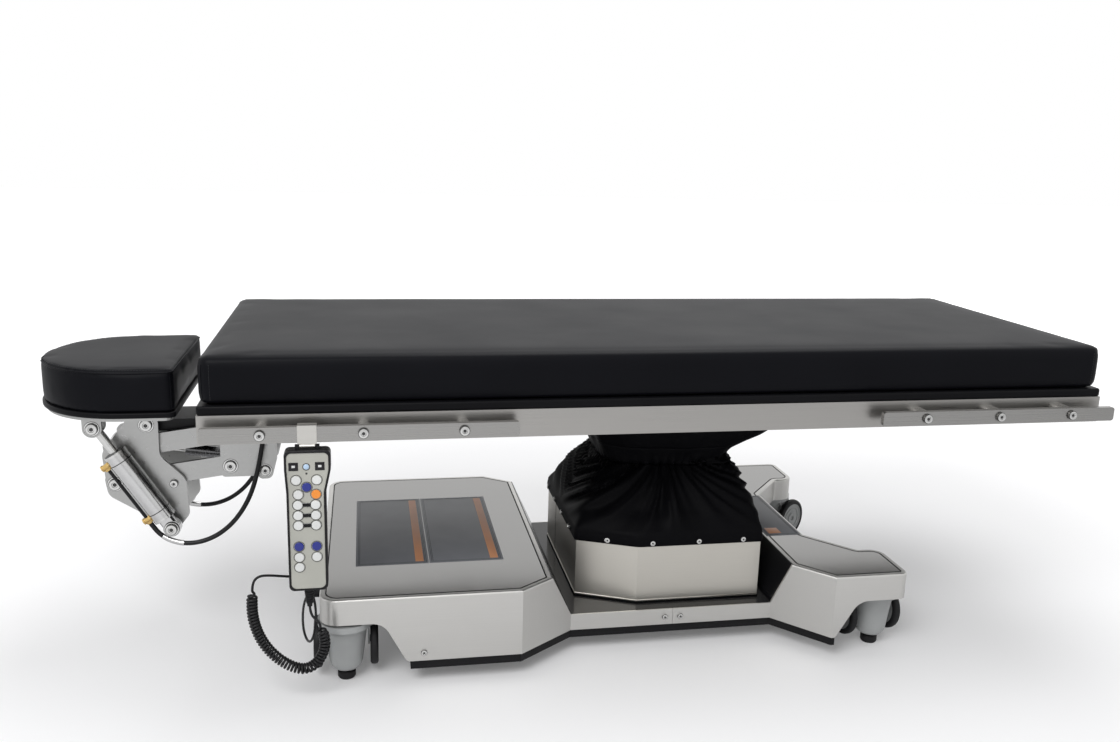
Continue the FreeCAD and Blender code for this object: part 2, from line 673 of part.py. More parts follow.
def funnel(rings):
    """A thin cloth shell through six-sided rings, each given as (z, points)."""
    skins = []
    for shrink in (0.0, CLOTH):
        wires = []
        for z, points in rings:
            mid_x = sum(p[0] for p in points) / len(points)
            reach = max(abs(p[0] - mid_x) for p in points)
            scale = 1 - shrink / reach
            spots = [vec(mid_x + (p[0] - mid_x) * scale, p[1] * scale, z) for p in points]
            wires.append(Part.makePolygon(spots + spots[:1]))
        skins.append(Part.makeLoft(wires, True, True))
    return skins[0].cut(skins[1])


def ring(head, foot, half, taper=0.28):
    span = foot - head
    side = half * 0.74
    near = [(head, -side), (head + span * taper, -half), (foot, -half)]
    return near + [(x, -y) for x, y in reversed(near)]


def shroud():
    hem = casing_outline(HEM_OUT + CLOTH)
    gather = ring(*GATHER_RING)
    low_z, *belly = BELLY_RING
    high_z, *shoulder = SHOULDER_RING
    lower = funnel([(HEM_BOTTOM, hem), (CASING_TOP + 4, hem), (low_z, ring(*belly)),
                    (high_z, ring(*shoulder)), (GATHER_Z - SOFT_GAP, gather)])
    save("shroud_lower", [lower])
    neck_z, *neck = NECK_RING
    upper = funnel([(GATHER_Z, gather), (neck_z, ring(*neck)), (FRAME_BOTTOM - SOFT_GAP, ring(*FLARE_RING))])
    half_x, half_y = MOUNT_SIZE[0] / 2 + 1, MOUNT_SIZE[1] / 2 + 1
    x = COLUMN_X
    low = FRAME_BOTTOM - MOUNT_THICK - 1
    room = box(x - half_x, x + half_x, -half_y, half_y, low, FRAME_BOTTOM + 1)
    save("shroud_upper", [upper.cut(room)])


# Table top

def top_outline(corner):
    half = TOP_WIDTH / 2
    near = [(TOP_HEAD, -half, corner), (TOP_FOOT, -half, corner)]
    return near + [(x, -y, corner) for x, y, corner in reversed(near)]


def tabletop():
    top = FRAME_BOTTOM + FRAME_HEIGHT
    half = TOP_WIDTH / 2
    inner = half - FRAME_BAR
    bars = []
    for side in (-1, 1):
        low, high = sorted((side * inner, side * half))
        tube = box(TOP_HEAD, TOP_FOOT, low, high, FRAME_BOTTOM, top)
        gap = box(TOP_HEAD + FRAME_WALL, TOP_FOOT - FRAME_WALL, low + FRAME_WALL, high - FRAME_WALL,
                  FRAME_BOTTOM + FRAME_WALL, top - FRAME_WALL)
        bars.append(tube.cut(gap))
    column_bars = [COLUMN_X - COLUMN_BARS / 2, COLUMN_X + COLUMN_BARS / 2 - FRAME_BAR]
    for start in [TOP_HEAD, STRUT_PIN[0] - 10] + column_bars + [FOOT_BAR, TOP_FOOT - FRAME_BAR]:
        bars.append(box(start, start + FRAME_BAR, -inner, inner, FRAME_BOTTOM, top))
    save("table_frame", bars + [hangers()])
    board = slab(top_outline(BOARD_CORNER), top, top + BOARD_THICK)
    board = board.makeFillet(BOARD_EDGE, [e for e in board.Edges if e.BoundBox.ZLength < 0.1])
    save("top_board", [board])
    low = top + BOARD_THICK + SOFT_GAP
    pad = slab(top_outline(MATTRESS_CORNER), low, low + MATTRESS_THICK)
    rim = [e for e in pad.Edges if e.BoundBox.ZMin > low + MATTRESS_THICK - 0.1]
    save("mattress", [pad.makeFillet(MATTRESS_EDGE / 2, rim)])
    rails()


def rails():
    half = TOP_WIDTH / 2
    inside = half + RAIL_STANDOFF
    outside = inside + RAIL_THICK
    middle = RAIL_BOTTOM + RAIL_HEIGHT / 2
    shapes = []
    for (start, end), bolts in zip(RAIL_SPANS, RAIL_BOLTS):
        side = [(start, RAIL_BOTTOM, 5.0), (end, RAIL_BOTTOM, 5.0), (end, RAIL_BOTTOM + RAIL_HEIGHT, 5.0),
                (start, RAIL_BOTTOM + RAIL_HEIGHT, 5.0)]
        shapes += pair(plate(side, -outside, -inside))
        for x in bolts:
            shapes += pair(bar(SPACER_RADIUS, (x, -inside, middle), (x, -half, middle)))
            shapes += pair(bar(BOLT_RADIUS, (x, -outside - BOLT_HEAD, middle), (x, -outside, middle)))
    save("accessory_rails", shapes)


# Head section

def link(low, high, bore_low, bore_high):
    """A flat bar between two pivots, given as (x, z)."""
    dx = high[0] - low[0]
    dz = high[1] - low[1]
    length = math.hypot(dx, dz)
    across = (-dz / length * LINK_WIDTH / 2, dx / length * LINK_WIDTH / 2)
    along = (dx / length * LINK_WIDTH / 2, dz / length * LINK_WIDTH / 2)
    points = [(low[0] - along[0] + across[0], low[1] - along[1] + across[1], 12.0),
              (low[0] - along[0] - across[0], low[1] - along[1] - across[1], 12.0),
              (high[0] + along[0] - across[0], high[1] + along[1] - across[1], 12.0),
              (high[0] + along[0] + across[0], high[1] + along[1] + across[1], 12.0)]
    outer = -PLATE_Y + PLATE_THICK / 2 + 3
    shape = plate(points, outer, outer + LINK_THICK)
    for spot, radius in ((low, bore_low), (high, bore_high)):
        shape = shape.cut(bar(radius, (spot[0], -100, spot[1]), (spot[0], 0, spot[1])))
    return shape


def raised(spot):
    return (spot[0], spot[1] + LINK_RISE)


def cross_pin(spot, radius, reach):
    return bar(radius, (spot[0], -reach, spot[1]), (spot[0], reach, spot[1]))


def head_links():
    bore = LINK_PIN + RUNNING
    upper = link(raised(CARRIER_LOW), raised(BRACKET_LOW), bore, bore)
    lower = link(CARRIER_LOW, BRACKET_LOW, LINK_PIN + FIT, bore)
    save("upper_links", pair(upper))
    save("lower_links", pair(lower))


def head_carrier():
    outer = -PLATE_Y - PLATE_THICK / 2
    near = plate(CARRIER_SHAPE, outer, outer + PLATE_THICK)
    shapes = pair(near)
    for spot in (CARRIER_LOW, raised(CARRIER_LOW)):
        shapes.append(cross_pin(spot, LINK_PIN, PLATE_Y))
        shapes.append(cross_pin(spot, LINK_PIN + 3, PLATE_Y - PLATE_THICK / 2 - LINK_THICK - 4))
    head, foot, low, high = CARRIER_BAR
    shapes.append(box(head, foot, -PLATE_Y, PLATE_Y, low, high))
    for spot, radius, inside, outside in (
            (HEAD_HINGE, LINK_PIN - 1, 49.5, -outer + BOLT_HEAD),
            (CYLINDER_EYE, LINK_PIN, PLATE_Y, CYLINDER_Y + 13)):
        shapes += pair(bar(radius, (spot[0], -outside, spot[1]), (spot[0], -inside, spot[1])))
    for spot, radius in ((HEAD_HINGE, HEAD_BOLT), (CARRIER_LOW, HEAD_BOLT), (SPARE_BOLT, 6.0)):
        shapes += pair(bar(radius, (spot[0], outer - BOLT_HEAD, spot[1]), (spot[0], outer, spot[1])))
    end = CYLINDER_Y + 13
    shapes += pair(bar(HEAD_BOLT, (CYLINDER_EYE[0], -end - 3, CYLINDER_EYE[1]),
                       (CYLINDER_EYE[0], -end, CYLINDER_EYE[1])))
    save("head_carrier", [fused(shapes)])
    length, half, low, high = BUMPER
    save("bumper_block", [box(foot, foot + length, -half, half, low, high)])


def head_brackets():
    points = [(BRACKET_SHAPE[0][0], FRAME_BOTTOM)] + BRACKET_SHAPE + [(BRACKET_SHAPE[-1][0], FRAME_BOTTOM)]
    outer = -PLATE_Y - PLATE_THICK / 2
    shapes = pair(plate(points, outer, outer + PLATE_THICK))
    for spot, radius in ((BRACKET_LOW, LINK_PIN), (raised(BRACKET_LOW), LINK_PIN), (STRUT_PIN, STRUT_ROD)):
        inside = PLATE_Y - PLATE_THICK / 2 - LINK_THICK - 8 if spot == BRACKET_LOW else 0
        shapes += pair(bar(radius, (spot[0], -PLATE_Y, spot[1]), (spot[0], -inside, spot[1])))
        head = HEAD_BOLT if radius == LINK_PIN else LINK_PIN
        shapes += pair(bar(head, (spot[0], outer - BOLT_HEAD, spot[1]), (spot[0], outer, spot[1])))
    save("head_brackets", [fused(shapes)])


def head_outline(inset=0.0):
    radius = HEAD_HALF - inset
    tip = HEAD_TIP + inset
    right = HEAD_RIGHT - inset
    near = [(tip, -radius, radius - 1), (right, -radius, HEAD_CORNER)]
    return near + [(x, -y, corner) for x, y, corner in reversed(near)]


def head_section():
    top = HEAD_PAD_BOTTOM - HEAD_BOARD
    low = top - HEAD_PLATE
    steel = slab(head_outline(HEAD_INSET), low, top)
    parts = [steel]
    hinge_in = PLATE_Y - PLATE_THICK / 2 - 3
    for spot, radius, inside, outside in (
            (HEAD_HINGE, HINGE_LUG, hinge_in - LINK_THICK, hinge_in),
            (CLEVIS_PIN, CLEVIS_LUG, CYLINDER_Y - 16, CYLINDER_Y - 8.5),
            (CLEVIS_PIN, CLEVIS_LUG, CYLINDER_Y + 8.5, CYLINDER_Y + 16)):
        side = [(spot[0] - radius, low + 0.5), (spot[0] - radius, spot[1] - radius, radius - 0.5),
                (spot[0] + radius, spot[1] - radius, radius - 0.5), (spot[0] + radius, low + 0.5)]
        parts += pair(plate(side, -outside, -inside))
    plate_shape = fused(parts)
    for sign in (-1, 1):
        start = sign * (hinge_in - LINK_THICK - 1)
        end = sign * (hinge_in + 1)
        plate_shape = plate_shape.cut(bar(LINK_PIN - 1 + RUNNING, (HEAD_HINGE[0], start, HEAD_HINGE[1]),
                                          (HEAD_HINGE[0], end, HEAD_HINGE[1])))
    pins = []
    for sign in (-1, 1):
        inside = sign * (CYLINDER_Y - 16)
        outside = sign * (CYLINDER_Y + 16)
        x, z = CLEVIS_PIN
        pins.append(bar(STRUT_ROD, (x, inside, z), (x, outside, z)))
        pins.append(bar(HEAD_BOLT, (x, outside, z), (x, outside + sign * BOLT_HEAD, z)))
    save("head_plate", [fused([plate_shape] + pins)])
    board = slab(head_outline(), top, HEAD_PAD_BOTTOM)
    pad = slab(head_outline(1.0), HEAD_PAD_BOTTOM + SOFT_GAP, HEAD_TOP)
    rim = [e for e in pad.Edges if e.BoundBox.ZMin > HEAD_TOP - 0.1]
    save("head_pad", [board, pad.makeFillet(MATTRESS_EDGE / 2, rim)])


def along(start, end, distance, y):
    dx = end[0] - start[0]
    dz = end[1] - start[1]
    length = math.hypot(dx, dz)
    return (start[0] + dx / length * distance, y, start[1] + dz / length * distance)


def beside(start, end, distance, out):
    """A spot beside the near cylinder's axis: distance along it, and out from it on its lower side."""
    dx = end[0] - start[0]
    dz = end[1] - start[1]
    length = math.hypot(dx, dz)
    spot = along(start, end, distance, -CYLINDER_Y)
    return (spot[0] - dz / length * out, spot[1], spot[2] + dx / length * out)


def tilt_cylinders():
    foot, head = CYLINDER_EYE, CLEVIS_PIN
    length = math.hypot(head[0] - foot[0], head[1] - foot[1])
    y = -CYLINDER_Y

    def at(distance):
        return along(foot, head, distance, y)

    body = bar(BARREL_RADIUS, at(BARREL_START), at(BARREL_END))
    body = body.cut(bar(BARREL_RADIUS - BARREL_WALL, at(BARREL_START + 14), at(BARREL_END - 12)))
    body = body.cut(bar(ROD_RADIUS + RUNNING, at(BARREL_END - 20), at(BARREL_END + 1)))
    slice_of = box(-BEYOND, BEYOND, y - CLEVIS_HALF, y + CLEVIS_HALF, -BEYOND, BEYOND)
    tail = bar(TAIL_RADIUS, at(6), at(BARREL_START + 2)).common(slice_of)
    knuckle = bar(TAIL_RADIUS + 1, (foot[0], y - CLEVIS_HALF, foot[1]), (foot[0], y + CLEVIS_HALF, foot[1]))
    body = fused([body, tail, knuckle])
    body = body.cut(bar(LINK_PIN + RUNNING, (foot[0], y - 20, foot[1]), (foot[0], y + 20, foot[1])))
    fittings = []
    for distance in (FITTING_FOOT, FITTING_HEAD):
        start = beside(foot, head, distance, BARREL_RADIUS - 2)
        end = beside(foot, head, distance, FITTING_REACH + FITTING_RADIUS)
        fittings.append(bar(FITTING_RADIUS, start, end))
        elbow = beside(foot, head, distance - FITTING_RADIUS - 1, FITTING_REACH)
        fittings.append(bar(FITTING_RADIUS - 0.5, beside(foot, head, distance, FITTING_REACH), elbow))
    pipe_low = beside(foot, head, FITTING_FOOT + 2, FITTING_REACH)
    pipe_high = beside(foot, head, FITTING_HEAD - 2, FITTING_REACH)
    fittings.append(bar(PIPE_RADIUS, pipe_low, pipe_high))
    save("tilt_barrels", pair(fused([body] + fittings)))
    rod = bar(ROD_RADIUS, at(PISTON_AT - 8), at(length - 9))
    piston = bar(BARREL_RADIUS - BARREL_WALL - RUNNING, at(PISTON_AT - 8), at(PISTON_AT + 8))
    end = bar(13.0, (head[0], y - 8, head[1]), (head[0], y + 8, head[1]))
    rod = fused([rod, piston, end])
    rod = rod.cut(bar(STRUT_ROD + PIVOT_PLAY, (head[0], y - 9, head[1]), (head[0], y + 9, head[1])))
    save("tilt_rods", pair(rod))


def lift_strut():
    foot, head = STRUT_PIN, raised(CARRIER_LOW)
    length = math.hypot(head[0] - foot[0], head[1] - foot[1])

    def at(distance):
        return along(foot, head, distance, 0)

    body = bar(STRUT_RADIUS, at(9), at(150))
    body = body.cut(bar(STRUT_RADIUS - 2, at(24), at(142)))
    body = body.cut(bar(STRUT_ROD + RUNNING, at(140), at(151)))
    body = fused([body, bar(11.0, (foot[0], -8, foot[1]), (foot[0], 8, foot[1]))])
    save("strut_barrel", [body.cut(cross_pin(foot, STRUT_ROD + RUNNING, 12))])
    grip = LINK_PIN + 3 + 1.6
    rod = fused([bar(STRUT_ROD, at(90), at(length - grip)), bar(STRUT_RADIUS - 2 - RUNNING, at(90), at(100)),
                 bar(grip + 5, (head[0], -8, head[1]), (head[0], 8, head[1]))])
    save("strut_rod", [rod.cut(cross_pin(head, grip, 9))])


# Handset

def set_outline(inset):
    """Front outline in X and Z: wide shoulders, a waist and a straight body."""
    wide = SET_TOP_WIDTH / 2 - inset
    slim = SET_WIDTH / 2 - inset
    top = SET_TOP - inset
    low = SET_BOTTOM + inset
    mid = SET_X - 3
    right = [(wide, top, 8.0), (wide, SET_WAIST + 38, 20.0), (slim, SET_WAIST, 20.0), (slim, low, 9.0)]
    left = [(-a, z, r) for a, z, r in reversed(right)]
    sides = [(SET_X, right[:2]), (mid, right[2:]), (mid, left[:2]), (SET_X, left[2:])]
    return [(middle + a, z, r) for middle, points in sides for a, z, r in points]


def key(spot, length_back, slack):
    x, z = spot
    face = SET_FRONT + 1
    cap = bar(KEY_RADIUS, (x, face - KEY_PROUD, z), (x, face + FACE_THICK + slack + 0.5, z))
    rim = [e for e in cap.Edges if e.BoundBox.YMax < face - KEY_PROUD + 0.1]
    cap = cap.makeFillet(1.2, rim)
    rear = face + FACE_THICK + slack
    flange = bar(KEY_RADIUS + 1.0, (x, rear, z), (x, rear + 1.0, z))
    stem = bar(2.0, (x, rear, z), (x, length_back, z))
    return fused([cap, flange, stem])


def handset():
    back = SET_FRONT + SET_DEPTH
    face = SET_FRONT + 1
    shell = plate(set_outline(0), SET_FRONT, back)
    rims = [e for e in shell.Edges if e.BoundBox.YMin > back - 0.1 or e.BoundBox.YMax < SET_FRONT + 0.1]
    shell = shell.makeFillet(1.5, rims)
    shell = shell.cut(plate(set_outline(SET_WALL), face + FACE_THICK + 2, back - SET_WALL))
    shell = shell.cut(plate(set_outline(FACE_INSET), SET_FRONT - 1, face + FACE_THICK + 3))
    ears = []
    half = HOOK_WIDTH / 2 - 3
    for side in (-1, 1):
        low, high = sorted((SET_X + side * (half + FIT), SET_X + side * (half + 7)))
        ears.append(box(low, high, HOOK_PIVOT_Y - 3.2, HOOK_PIVOT_Y + 3.2, SET_TOP - 1, HOOK_PIVOT_Z + 2.5))
    reach = half + 6
    pin = bar(1.5, (SET_X - reach, HOOK_PIVOT_Y, HOOK_PIVOT_Z), (SET_X + reach, HOOK_PIVOT_Y, HOOK_PIVOT_Z))
    relief_x = SET_X - 3
    relief_y = SET_FRONT + SET_DEPTH / 2
    cone = Part.makeCone(7.5, 4.0, RELIEF_LENGTH, vec(relief_x, relief_y, SET_BOTTOM + 0.5), vec(0, 0, -1))
    save("handset_shell", [fused([shell] + ears + [pin, cone])])
    panel = plate(set_outline(FACE_INSET + 0.2), face, face + FACE_THICK)
    for x, z in KEY_SPOTS.values():
        panel = panel.cut(bar(KEY_RADIUS + KEY_PLAY, (x, face - 1, z), (x, face + 4, z)))
    for left, right, z in ROCKER_SPOTS.values():
        slot = box(left, right, face - 1, face + 4, z - 3.5, z + 3.5)
        for x in (left, right):
            slot = slot.fuse(bar(KEY_RADIUS + KEY_PLAY + 0.2, (x, face - 1, z), (x, face + 4, z)))
        panel = panel.cut(slot)
    board = plate(set_outline(FACE_INSET + 3), back - 10, back - 8.4)
    posts = []
    for x, z in ((SET_X - 22, SET_TOP - 16), (SET_X + 22, SET_TOP - 16), (SET_X - 22, SET_BOTTOM + 16),
                 (SET_X + 16, SET_BOTTOM + 16)):
        posts.append(bar(2.5, (x, face + FACE_THICK, z), (x, back - SET_WALL, z)))
    save("handset_face", [fused([panel, board] + posts)])
    stem_end = back - 10 - KEY_TRAVEL - 0.2
    for name, spot in KEY_SPOTS.items():
        save(name, [key(spot, stem_end, KEY_PLAY)])
    for name, (left, right, z) in ROCKER_SPOTS.items():
        bridge = box(left, right, face - 0.6, face + FACE_THICK + ROCKER_SLACK, z - 3.0, z + 3.0)
        caps = [key((x, z), face + FACE_THICK + 3, ROCKER_SLACK) for x in (left, right)]
        middle = (left + right) / 2
        pivot = bar(2.0, (middle, face + FACE_THICK, z), (middle, stem_end, z))
        pin_y = face + FACE_THICK + ROCKER_PIN_BACK
        pin = bar(ROCKER_PIN, (middle, pin_y, z - 3.4), (middle, pin_y, z + 3.4))
        save(name, [fused([bridge, pivot, pin] + caps)])
    hook()


def hook():
    inside = TOP_WIDTH / 2 + RAIL_STANDOFF
    outside = inside + RAIL_THICK
    top = RAIL_BOTTOM + RAIL_HEIGHT + FIT
    left = SET_X - HOOK_WIDTH / 2
    right = SET_X + HOOK_WIDTH / 2
    front = -outside - FIT
    rear = -inside + FIT
    strap = [box(left, right, front - HOOK_SHEET, front, HOOK_PIVOT_Z + HOOK_PLAY, top + HOOK_SHEET),
             box(left, right, front - HOOK_SHEET, rear + HOOK_SHEET, top, top + HOOK_SHEET),
             box(left, right, rear, rear + HOOK_SHEET, RAIL_BOTTOM + 6, top + HOOK_SHEET)]
    half = HOOK_WIDTH / 2 - 3
    ends = [(x, HOOK_PIVOT_Y, HOOK_PIVOT_Z) for x in (SET_X - half, SET_X + half)]
    knuckle = bar(3.0, *ends)
    web = box(SET_X - half, SET_X + half, front - HOOK_SHEET, front, HOOK_PIVOT_Z, HOOK_PIVOT_Z + HOOK_PLAY)
    shape = fused(strap + [knuckle, web])
    bore = bar(1.5 + RUNNING, (left, HOOK_PIVOT_Y, HOOK_PIVOT_Z), (right, HOOK_PIVOT_Y, HOOK_PIVOT_Z))
    save("handset_hook", [shape.cut(bore)])


# Cords and hoses

def shifted(points, first, last=None):
    """Cord points kept with the handset: each moves in Y by the handset's own shift, fading to last."""
    last = first if last is None else last
    steps = len(points) - 1
    return [(x, y + first + (last - first) * i / steps, z) for i, (x, y, z) in enumerate(points)]


def cords():
    shift = SET_FRONT - SET_FRONT_DRAWN
    save("cord_lead", [route("cord_lead", shifted(LEAD_ROUTE, shift), WIRE)])
    save("cord_coil", [route("cord_coil", shifted(COIL_ROUTE, shift), COIL)])
    save("cord_tail", [route("cord_tail", shifted(TAIL_ROUTE, shift, 0.0), WIRE)])
    x, y, z = TAIL_ROUTE[-1]
    save("cord_socket", [bar(SOCKET_RADIUS, (BASE_HEAD - SOCKET_LENGTH, y, z), (BASE_HEAD, y, z))])
    near = route("hose", HOSE_NEAR, HOSE_DIAMETER)
    save("head_hoses", pair(near))


def power_pack():
    floor = TRAY_BOTTOM + TRAY_THICK
    head, foot, near, far_side, high = PUMP
    pump = box(head, foot, near, far_side, floor, high)
    radius, middle, end = MOTOR
    motor = bar(radius, (foot, middle, floor + radius + 10), (end, middle, floor + radius + 10))
    head, foot, near, width, high, apart = BATTERY
    batteries = [box(head, foot, y, y + width, floor, high) for y in (near, near + width + apart)]
    save("power_pack", [fused([pump, motor])] + batteries)


os.makedirs("parts", exist_ok=True)
base()
base_fasteners()
ground()
column()
shroud()
tabletop()
head_links()
head_carrier()
head_brackets()
head_section()
tilt_cylinders()
lift_strut()
handset()
cords()
power_pack()
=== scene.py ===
# %% [markdown]
# # An operating table in brushed steel and black vinyl
# The solid model gives every rigid part its place and size. This lesson adds what a solid model
# can't show: cloth, vinyl, a curly cord, brushed metal and moulded plastic. All lengths are metres.

# %% Load the solid model
import json
import math

import bmesh
import bpy
from mathutils import Matrix, Vector, noise
from mathutils.bvhtree import BVHTree


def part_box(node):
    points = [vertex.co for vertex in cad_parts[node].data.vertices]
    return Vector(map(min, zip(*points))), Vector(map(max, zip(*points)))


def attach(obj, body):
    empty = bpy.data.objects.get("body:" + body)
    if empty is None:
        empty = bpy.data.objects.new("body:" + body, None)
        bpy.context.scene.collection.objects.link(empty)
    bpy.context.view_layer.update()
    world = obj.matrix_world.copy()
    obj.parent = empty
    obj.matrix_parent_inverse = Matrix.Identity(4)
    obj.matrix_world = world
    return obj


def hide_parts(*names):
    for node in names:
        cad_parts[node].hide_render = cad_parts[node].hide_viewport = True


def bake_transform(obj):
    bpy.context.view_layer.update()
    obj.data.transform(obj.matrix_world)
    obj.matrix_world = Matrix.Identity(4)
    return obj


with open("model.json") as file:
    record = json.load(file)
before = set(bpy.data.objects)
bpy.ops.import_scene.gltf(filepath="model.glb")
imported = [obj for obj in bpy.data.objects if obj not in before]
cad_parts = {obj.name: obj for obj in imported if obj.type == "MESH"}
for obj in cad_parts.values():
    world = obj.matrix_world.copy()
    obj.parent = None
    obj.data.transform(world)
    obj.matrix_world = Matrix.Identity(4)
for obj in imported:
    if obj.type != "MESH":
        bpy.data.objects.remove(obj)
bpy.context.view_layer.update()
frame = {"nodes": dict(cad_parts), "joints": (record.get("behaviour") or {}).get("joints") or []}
nodes = frame["nodes"]
scene = bpy.context.scene
print(len(nodes), "nodes loaded")

# %% [markdown]
# The camera stands in front of the table, a little to the left and above it, and looks slightly
# down. Its place, its turn and its lens come from fitting straight edges of the table.

# %% Camera
CAMERA_AT = Vector((-0.3913, -1.9214, 0.9320))
YAW, PITCH, ROLL = 0.192643, 0.225878, -0.028838
forward = Vector((math.sin(YAW) * math.cos(PITCH), math.cos(YAW) * math.cos(PITCH), -math.sin(PITCH)))
level = Vector((math.cos(YAW), -math.sin(YAW), 0.0))
down = forward.cross(level)
right = level * math.cos(ROLL) + down * math.sin(ROLL)
lower = down * math.cos(ROLL) - level * math.sin(ROLL)
lens = bpy.data.cameras.new("photo_camera")
lens.sensor_width = 36.0
lens.lens = 36.0 * 1017.74 / 1120.0
camera = bpy.data.objects.new("photo_camera", lens)
scene.collection.objects.link(camera)
turn = Matrix((right, -lower, -forward)).transposed()
camera.matrix_world = Matrix.Translation(CAMERA_AT) @ turn.to_4x4()
scene.camera = camera
print("camera lens", round(lens.lens, 2), "mm")

# %% [markdown]
# A curve becomes a cord in two steps. A smooth line runs near a few route points. Then a round
# tube follows that line. A short list of route points keeps the bends soft, as in real cable.

# %% Lines and tubes
def clamped(value):
    return max(0.0, min(1.0, value))


def link(data, name):
    piece = bpy.data.objects.new(name, data)
    scene.collection.objects.link(piece)
    return piece


def curve_mesh(name, points, kind, thickness=0.0, sides=4):
    curve = bpy.data.curves.new(name, "CURVE")
    curve.dimensions = "3D"
    spline = curve.splines.new(kind)
    spline.points.add(len(points) - 1)
    for knot, point in zip(spline.points, points):
        knot.co = (*point, 1.0)
    if kind == "NURBS":
        spline.order_u = 3
        spline.use_endpoint_u = True
        spline.resolution_u = 10
    curve.bevel_depth = thickness / 2
    curve.bevel_resolution = sides
    curve.use_fill_caps = thickness > 0
    holder = link(curve, name)
    mesh = bpy.data.meshes.new_from_object(holder)
    bpy.data.objects.remove(holder)
    bpy.data.curves.remove(curve)
    return mesh


def smoothed(piece):
    piece.data.polygons.foreach_set("use_smooth", [True] * len(piece.data.polygons))
    return piece


def tube(name, line, thickness, sides):
    return smoothed(link(curve_mesh(name, line, "POLY", thickness, sides), name))


def smooth_line(points):
    mesh = curve_mesh("line", [Vector(p) * 0.001 for p in points], "NURBS")
    line = [v.co.copy() for v in mesh.vertices]
    bpy.data.meshes.remove(mesh)
    return line


def line_length(line):
    return sum((b - a).length for a, b in zip(line, line[1:]))


print("line helpers ready")

# %% [markdown]
# The handset's cord is a curly one: a thin wire wound round and round a soft line. The helix is
# worked out along that line, one small step at a time. A side direction is carried along the
# line, so that the turns never twist back. Over the last few turns at each end, the wire eases
# back to the middle line, so that it meets the plain cord without a kink.

# %% Curly cord line
WIRE = 0.0042
COIL = 0.0186
TURN_STEP = 0.0056
END_TURNS = 3
COIL_ROUTE = [(-473.0, -338, 138), (-464.5, -339, 116), (-467.0, -340, 90), (-480.0, -340, 69),
              (-498.0, -340, 60), (-519.0, -340, 66), (-541.0, -340, 82), (-560.0, -340, 105),
              (-573.0, -340, 133), (-579.0, -340, 162), (-579.0, -340, 186), (-577.5, -340, 208)]


def helix(line, radius, pitch, per_turn=14):
    side = (line[1] - line[0]).orthogonal().normalized()
    total = line_length(line)
    step = pitch / per_turn
    points = []
    travelled = due = angle = 0.0
    for a, b in zip(line, line[1:]):
        run = b - a
        along = run.normalized()
        side = (side - along * side.dot(along)).normalized()
        across = along.cross(side)
        while due <= travelled + run.length and due <= total:
            share = clamped(min(due, total - due) / (pitch * END_TURNS))
            ease = share * share * (3 - 2 * share)
            spot = a + along * (due - travelled)
            points.append(spot + (side * math.cos(angle) + across * math.sin(angle)) * radius * ease)
            angle += math.tau / per_turn * ease
            due += step
        travelled += run.length
    if (points[-1] - line[-1]).length < step:
        points.pop()
    points.append(line[-1].copy())
    return points


coil_line = smooth_line(COIL_ROUTE)
curly = helix(coil_line, (COIL - WIRE) / 2, TURN_STEP)
turns = round(line_length(coil_line) / TURN_STEP) - END_TURNS
print("coil of", turns, "turns,", round(line_length(curly), 2), "m of wire")

# %% [markdown]
# When the table rises, the cord has to stretch between the handset and the base. The cord is cut
# into lengths, one for each joint of the table. A length on one body is attached to it; the others
# are fixed where they lie.

# %% Cord and hose pieces
cords = []


def cord_piece(name, line, thickness, bodies, sides=4):
    piece = tube(name, line, thickness, sides)
    if len(bodies) == 1:
        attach(piece, bodies[0])
    else:
        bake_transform(piece)
    cords.append(piece)
    return piece


def cut_line(line, shares):
    total = line_length(line)
    parts = []
    travelled = 0.0
    part = [line[0]]
    goals = [total * s for s in shares]
    for a, b in zip(line, line[1:]):
        travelled += (b - a).length
        part.append(b)
        if goals and travelled >= goals[0] - 1e-9:
            parts.append(part)
            part = [b]
            goals.pop(0)
    if len(part) > 1:
        parts.append(part)
    return parts


LEAD_ROUTE = [(-488.5, -333, 170.2), (-488.3, -333, 162), (-484.5, -334.5, 151), (-475.6, -337.7, 144.8),
              (-473.1, -338, 138.3)]
TAIL_ROUTE = [(-577.45, -340, 208.3), (-576.5, -339, 221), (-566.0, -336, 229), (-549.0, -330, 226),
              (-531.0, -322, 220), (-512.0, -315, 215), (-496.0, -313, 204), (-486.0, -314, 187),
              (-481.0, -316, 166), (-480.0, -317, 145), (-482.0, -316, 122), (-486.0, -310, 101),
              (-492.0, -297, 86), (-499.0, -279, 82), (-505.0, -260, 91), (-507.0, -244, 108),
              (-505.0, -231, 126), (-499.5, -221, 138), (-491.0, -218, 140.8)]
lead = cord_piece("handset_lead", smooth_line(LEAD_ROUTE), WIRE, ["handset"])
chain = ["handset", "handset_hook", "tabletop", "tilt_block", "mast_inner", "mast_middle", "base"]
curly_parts = cut_line(curly, [0.12, 0.24, 0.36, 0.48, 0.74])
for number, part in enumerate(curly_parts):
    cord_piece(f"curly_cord_{number + 1}", part, WIRE, chain[number:number + 2], 3)
tail = cord_piece("handset_tail", smooth_line(TAIL_ROUTE), WIRE, ["base"])
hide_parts("cord_lead")
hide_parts("cord_coil")
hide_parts("cord_tail")
print(len(cords), "cord pieces")

# %% [markdown]
# Two oil hoses run from the tilt cylinders to the underside of the table. Each is cut into three
# lengths, one for every joint that it crosses, and a bright ferrule holds its lower end.

